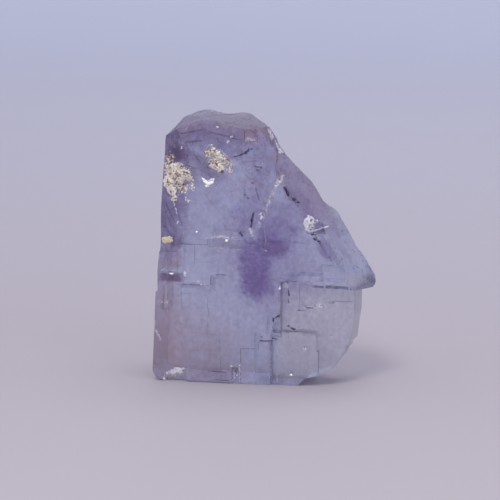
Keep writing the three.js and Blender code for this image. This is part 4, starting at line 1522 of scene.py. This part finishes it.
class CrystalLook(bpy.types.PropertyGroup):
    body_colour: colour_choice("Body colour", "Colour of the clear slate-blue parts", (0.7, 0.71, 0.87))
    core_colour: colour_choice(
        "Core colour",
        "Colour of the purple zones in the middle",
        (0.3, 0.22, 0.5),
    )
    dark_colour: colour_choice(
        "Dark zone colour",
        "Colour of the dark purple zones at the upper left",
        (0.27, 0.2, 0.33),
    )
    mauve_colour: colour_choice(
        "Edge zone colour",
        "Colour of the mauve zones along the edges",
        (0.62, 0.5, 0.56),
    )
    pale_colour: colour_choice(
        "Pale body colour",
        "Colour of the lightest blue clouds",
        (0.74, 0.79, 0.95),
    )
    deep_colour: colour_choice(
        "Deep body colour",
        "Colour of the deeper purple parts",
        (0.42, 0.36, 0.58),
    )
    grey_colour: colour_choice(
        "Grey body colour",
        "Colour of the nearly colourless lower right part",
        (0.78, 0.78, 0.86),
    )
    tip_colour: colour_choice("Tip colour", "Colour of the dark grey tip", (0.4, 0.39, 0.47))
    pink_colour: colour_choice(
        "Pink patch colour",
        "Colour of the pink patches under the top",
        (0.6, 0.42, 0.5),
    )
    # Also paints the glint facets pale: painted highlight.
    chip_and_glint_colour: colour_choice("Chip colour", "Colour of the pale bruised chips", (0.95, 0.92, 0.9))
    # Painted shade in the open cracks, also mixed into the shaded and dim faces.
    crack_shade_colour: colour_choice("Crack colour", "Colour of the open cracks", (0.05, 0.03, 0.09))
    inside_colour: colour_choice("Inside colour", "What the inside lets through", (0.72, 0.72, 0.86))
    inside_density: FloatProperty(
        name="Inside density",
        description="How strongly the inside takes up light, for each metre",
        default=60.0, min=0, unit="NONE",
    )
    clearness: share_choice(
        "Clearness",
        "Share of the light that passes through rather than being scattered",
        0.8,
    )
    cleaved_roughness: share_choice("Cleavage roughness", "Roughness of the flat cleavages", 0.08)
    rear_roughness: share_choice(
        "Rear roughness",
        "Roughness of the frosted cleavages at the back",
        0.42,
    )
    edge_wear: FloatProperty(
        name="Edge wear",
        description="How wide the worn edges are",
        default=0.00008, min=0, subtype="DISTANCE", unit="LENGTH",
    )
    # Painted shade on the shaded and dim faces: step edges, sills, grooves, ledges and scratches.
    painted_edge_shade: share_choice("Edge darkness", "How dark the worn edges of the steps are", 0.45)
    broken_roughness: share_choice("Break roughness", "Roughness of the broken surfaces", 0.3)


class MatrixLook(bpy.types.PropertyGroup):
    pale_colour: colour_choice(
        "Pale grain colour",
        "Colour of the pale grains of the crusts",
        (0.9, 0.79, 0.64),
    )
    deep_colour: colour_choice(
        "Dark grain colour", "Colour between the pale grains", (0.17, 0.11, 0.16),
    )
    ochre_colour: colour_choice("Ochre grain colour", "Colour of the ochre grain", (0.84, 0.68, 0.38))
    white_colour: colour_choice(
        "White grain colour", "Colour of the whitest grains", (0.98, 0.92, 0.86),
    )
    tan_colour: colour_choice("Tan grain colour", "Colour of the tan grains", (0.6, 0.46, 0.45))
    crumbs: FloatProperty(
        name="Crumbs",
        description="How many crumbs lie round a clump, for each of its grains",
        default=1.2, min=0, max=3,
    )


# Colours of the shards, which are partly crushed crystal and partly painted highlights.
class BruiseAndGlintLook(bpy.types.PropertyGroup):
    dull_colour: colour_choice("Dull colour", "Colour of the faintest shards", (0.42, 0.4, 0.5))
    bright_colour: colour_choice("Bright colour", "Colour of the whitest shards", (0.96, 0.95, 0.96))
    roughness: share_choice("Roughness", "Roughness of the shards", 0.22)


class StageLook(bpy.types.PropertyGroup):
    azimuth: FloatProperty(
        name="Camera azimuth",
        description="How far the camera stands round to the right of the broad face",
        default=CAMERA_AZIMUTH, subtype="ANGLE", unit="ROTATION",
    )
    elevation: FloatProperty(
        name="Camera elevation",
        description="How far the camera looks down",
        default=CAMERA_ELEVATION, subtype="ANGLE", unit="ROTATION",
    )
    distance: FloatProperty(
        name="Camera distance",
        description="From the camera to the middle of the specimen",
        default=0.32, subtype="DISTANCE", unit="LENGTH",
    )
    surface_colour: colour_choice(
        "Surface colour",
        "Colour of the pale surface that the specimen stands on",
        (0.52, 0.475, 0.51),
    )
    backdrop_colour: colour_choice(
        "Backdrop colour",
        "Colour that the surface turns to where it curves up behind",
        (0.78, 0.81, 0.94),
    )


# Operators

def finish_piece(ob, name, nodes, slot):
    ob.name = name
    ob.data.name = name
    if not ob.users_collection:
        bpy.context.scene.collection.objects.link(ob)
    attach(ob, "root")
    for node_name in nodes:
        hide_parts(node_name)


class SPECIMEN_OT_crystal(bpy.types.Operator):
    """Make the cleaved crystal"""

    bl_idname = "specimen.crystal"
    bl_label = "Crystal"

    def execute(self, context):
        look = context.scene.crystal_look
        crystal = cut_crystal()
        note_finish(crystal, look, fluorite_material(look))
        settle(crystal)
        finish_piece(crystal, "crystal", ["fluorite_crystal"], "fluorite")
        if not crystal.data.polygons:
            raise RuntimeError("the crystal has no faces")
        return {"FINISHED"}


class SPECIMEN_OT_matrix(bpy.types.Operator):
    """Make the crusts of matrix and the ochre grain"""

    bl_idname = "specimen.matrix"
    bl_label = "Matrix crusts"

    def execute(self, context):
        look = context.scene.matrix_look
        cream = matrix_material(
            "matrix", (look.deep_colour, look.tan_colour, look.pale_colour, look.white_colour)
        )
        ochre = matrix_material(
            "ochre", (look.tan_colour, look.ochre_colour, look.ochre_colour, look.pale_colour)
        )
        rows = [
            ("crust_left", "matrix_crust_left", "matrix", LEFT_CLUMPS, look.crumbs, cream),
            ("crust_upper", "matrix_crust_upper", "matrix", UPPER_CLUMPS, look.crumbs, cream),
            ("ochre_grain", "matrix_grain_ochre", "ochre", OCHRE_CLUMPS, 0, ochre),
        ]
        for seed, (name, node_name, slot, clumps, crumbs, material) in enumerate(rows):
            ob = crust(name, clumps, crumbs, seed + 5)
            settle(ob)
            ob.data.materials.append(material)
            finish_piece(ob, name, [node_name], slot)
        return {"FINISHED"}


class SPECIMEN_OT_bruises_and_glints(bpy.types.Operator):
    """Make the pale shards on the crystal's front: crushed crystal and painted highlights"""

    bl_idname = "specimen.bruises"
    bl_label = "Bruises"

    def execute(self, context):
        look = context.scene.bruise_look
        crystal = bpy.data.objects.get("crystal")
        if crystal is None:
            raise RuntimeError("the crystal has to be made before its bruises")
        ob = bruised_and_glinting(crystal)
        settle(ob)
        ob.data.materials.append(bruise_and_glint_material(look))
        finish_piece(ob, "bruises", [], "fluorite")
        return {"FINISHED"}


class SPECIMEN_OT_stage(bpy.types.Operator):
    """Make the pale surface, the lights and the camera"""

    bl_idname = "specimen.stage"
    bl_label = "Stage"

    def execute(self, context):
        look = context.scene.stage_look
        make_surface(look)
        make_lights()
        make_camera(look)
        return {"FINISHED"}


def make_surface(look):
    """A sheet that runs back from the camera and curves up into a backdrop."""
    front, back, bend, top, half = -2.0, 0.5, 0.35, 1.2, 1.6
    path = [(front, -GAP), (back, -GAP)]
    steps = 24
    for i in range(1, steps + 1):
        turn = math.pi / 2 * i / steps
        path.append((back + bend * math.sin(turn), bend * (1 - math.cos(turn)) - GAP))
    path.append((back + bend, top))
    corners = [(side * half, y, z) for y, z in path for side in (-1, 1)]
    faces = [(2 * i, 2 * i + 1, 2 * i + 3, 2 * i + 2) for i in range(len(path) - 1)]
    mesh = bpy.data.meshes.new("surface")
    mesh.from_pydata(corners, [], faces)
    mesh.polygons.foreach_set("use_smooth", [True] * len(faces))
    ob = bpy.data.objects.new("surface", mesh)
    bpy.context.scene.collection.objects.link(ob)
    material, tree = blank_material("surface")
    at = node(tree, "ShaderNodeTexCoord", (-900, 0)).outputs["Object"]
    along = node(tree, "ShaderNodeSeparateXYZ", (-700, 0), {}, Vector=at).outputs["Y"]
    far = spread(tree, along, 0, 1, (-500, 0), 0.02, 0.6)
    paper, _ = noise(tree, at, 900, 4, 0.6, (-700, -300))
    tint = blend(tree, far, (*look.surface_colour, 1), (*look.backdrop_colour, 1), (-300, 0))
    bump = node(
        tree, "ShaderNodeBump", (-300, -300), {}, Strength=0.1, Distance=0.0001, Height=paper
    )
    shader = node(
        tree, "ShaderNodeBsdfPrincipled", (0, 0), {}, Base_Color=tint, Roughness=0.6,
        Normal=bump.outputs[0],
    )
    show(tree, shader, (300, 0))
    mesh.materials.append(material)
    ob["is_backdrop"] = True


def area_light(name, place, aim, size, power, colour):
    data = bpy.data.lights.new(name, "AREA")
    data.shape = "DISK"
    data.size = size
    data.energy = power
    data.color = colour
    ob = bpy.data.objects.new(name, data)
    ob.location = place
    ob.rotation_euler = (Vector(aim) - Vector(place)).to_track_quat("-Z", "Y").to_euler()
    bpy.context.scene.collection.objects.link(ob)


def make_lights():
    world = bpy.data.worlds.new("soft room")
    world.use_nodes = True
    tree = world.node_tree
    way = node(tree, "ShaderNodeTexCoord", (-900, 0)).outputs["Generated"]
    parts = node(tree, "ShaderNodeSeparateXYZ", (-700, 0), {}, Vector=way)
    behind = spread(tree, parts.outputs["Y"], 0, 0.4, (-500, 0), -1, 1)
    above = spread(tree, parts.outputs["Z"], 0.22, 0.75, (-500, -200), -0.3, 0.8)
    far_and_high = reckon(tree, "ADD", (-300, 0), behind, above)
    aside = reckon(tree, "ABSOLUTE", (-500, -400), parts.outputs["X"])
    beside = spread(tree, aside.outputs[0], 0, 0.3, (-300, -400), 0.3, 0.9)
    dim = reckon(tree, "MAXIMUM", (-150, 0), far_and_high.outputs[0], 0)
    light = reckon(tree, "ADD", (0, -200), dim.outputs[0], beside)
    background = tree.nodes["Background"]
    background.inputs["Color"].default_value = (0.68, 0.68, 0.78, 1)
    tree.links.new(light.outputs[0], background.inputs["Strength"])
    bpy.context.scene.world = world
    middle = (0, 0, 0.017)
    area_light("key", (-0.02, -0.3, 0.38), middle, 0.15, 0.7, (1, 0.98, 0.96))
    area_light("top", (0.04, 0.16, 0.45), middle, 0.3, 0.26, (0.98, 0.98, 1))
    area_light("fill", (0.4, -0.42, 0.2), middle, 0.4, 0.5, (0.9, 0.92, 1))


def make_camera(look):
    az, el = look.azimuth, look.elevation
    back = Vector((math.sin(az) * math.cos(el), -math.cos(az) * math.cos(el), math.sin(el)))
    right = Vector((math.cos(az), math.sin(az), 0))
    up = back.cross(right)
    aim = Vector((SHIFT * MM, 0, 18 * MM))
    aim += right * (PHOTO_MIDDLE[0] * PIXEL) + up * (PHOTO_MIDDLE[1] * PIXEL)
    data = bpy.data.cameras.new("camera")
    data.sensor_width = 36
    data.lens = data.sensor_width * look.distance / (PHOTO_WIDTH * PIXEL)
    ob = bpy.data.objects.new("camera", data)
    ob.matrix_world = Matrix.Translation(aim + back * look.distance) @ Matrix(
        (
            (right.x, up.x, back.x, 0), (right.y, up.y, back.y, 0), (right.z, up.z, back.z, 0),
            (0, 0, 0, 1),
        )
    )
    bpy.context.scene.collection.objects.link(ob)
    bpy.context.scene.camera = ob


class SPECIMEN_PT_panel(bpy.types.Panel):
    """Lists the specimen's pieces"""

    bl_idname = "SPECIMEN_PT_panel"
    bl_label = "Fluorite specimen"
    bl_space_type = "VIEW_3D"
    bl_region_type = "UI"
    bl_category = "Specimen"

    def draw(self, context):
        layout = self.layout
        groups = (
            ("specimen.crystal", context.scene.crystal_look),
            ("specimen.bruises", context.scene.bruise_look),
            ("specimen.matrix", context.scene.matrix_look),
            ("specimen.stage", context.scene.stage_look),
        )
        for operator, group in groups:
            box = layout.box()
            box.operator(operator)
            for name in group.bl_rna.properties.keys():
                if name not in ("rna_type", "name"):
                    box.prop(group, name)


CLASSES = (
    CrystalLook, MatrixLook, BruiseAndGlintLook, StageLook, SPECIMEN_OT_crystal, SPECIMEN_OT_bruises_and_glints,
    SPECIMEN_OT_matrix, SPECIMEN_OT_stage, SPECIMEN_PT_panel,
)
GROUPS = {
    "crystal_look": CrystalLook, "bruise_look": BruiseAndGlintLook, "matrix_look": MatrixLook,
    "stage_look": StageLook,
}


def register():
    for made in CLASSES:
        bpy.utils.register_class(made)
    for name, group in GROUPS.items():
        setattr(bpy.types.Scene, name, PointerProperty(type=group))


def unregister():
    for name in GROUPS:
        delattr(bpy.types.Scene, name)
    for made in reversed(CLASSES):
        bpy.utils.unregister_class(made)


def main():
    register()
    bpy.ops.specimen.stage()
    bpy.ops.specimen.crystal()
    bpy.ops.specimen.bruises()
    bpy.ops.specimen.matrix()
    bpy.context.scene.view_settings.view_transform = "Standard"
    bpy.context.view_layer.update()
    boxes = {"cad": CAD_BOX, "visual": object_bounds()}
    plain = {name: [list(map(float, corner)) for corner in box] for name, box in boxes.items()}


if __name__ == "__main__":
    main()
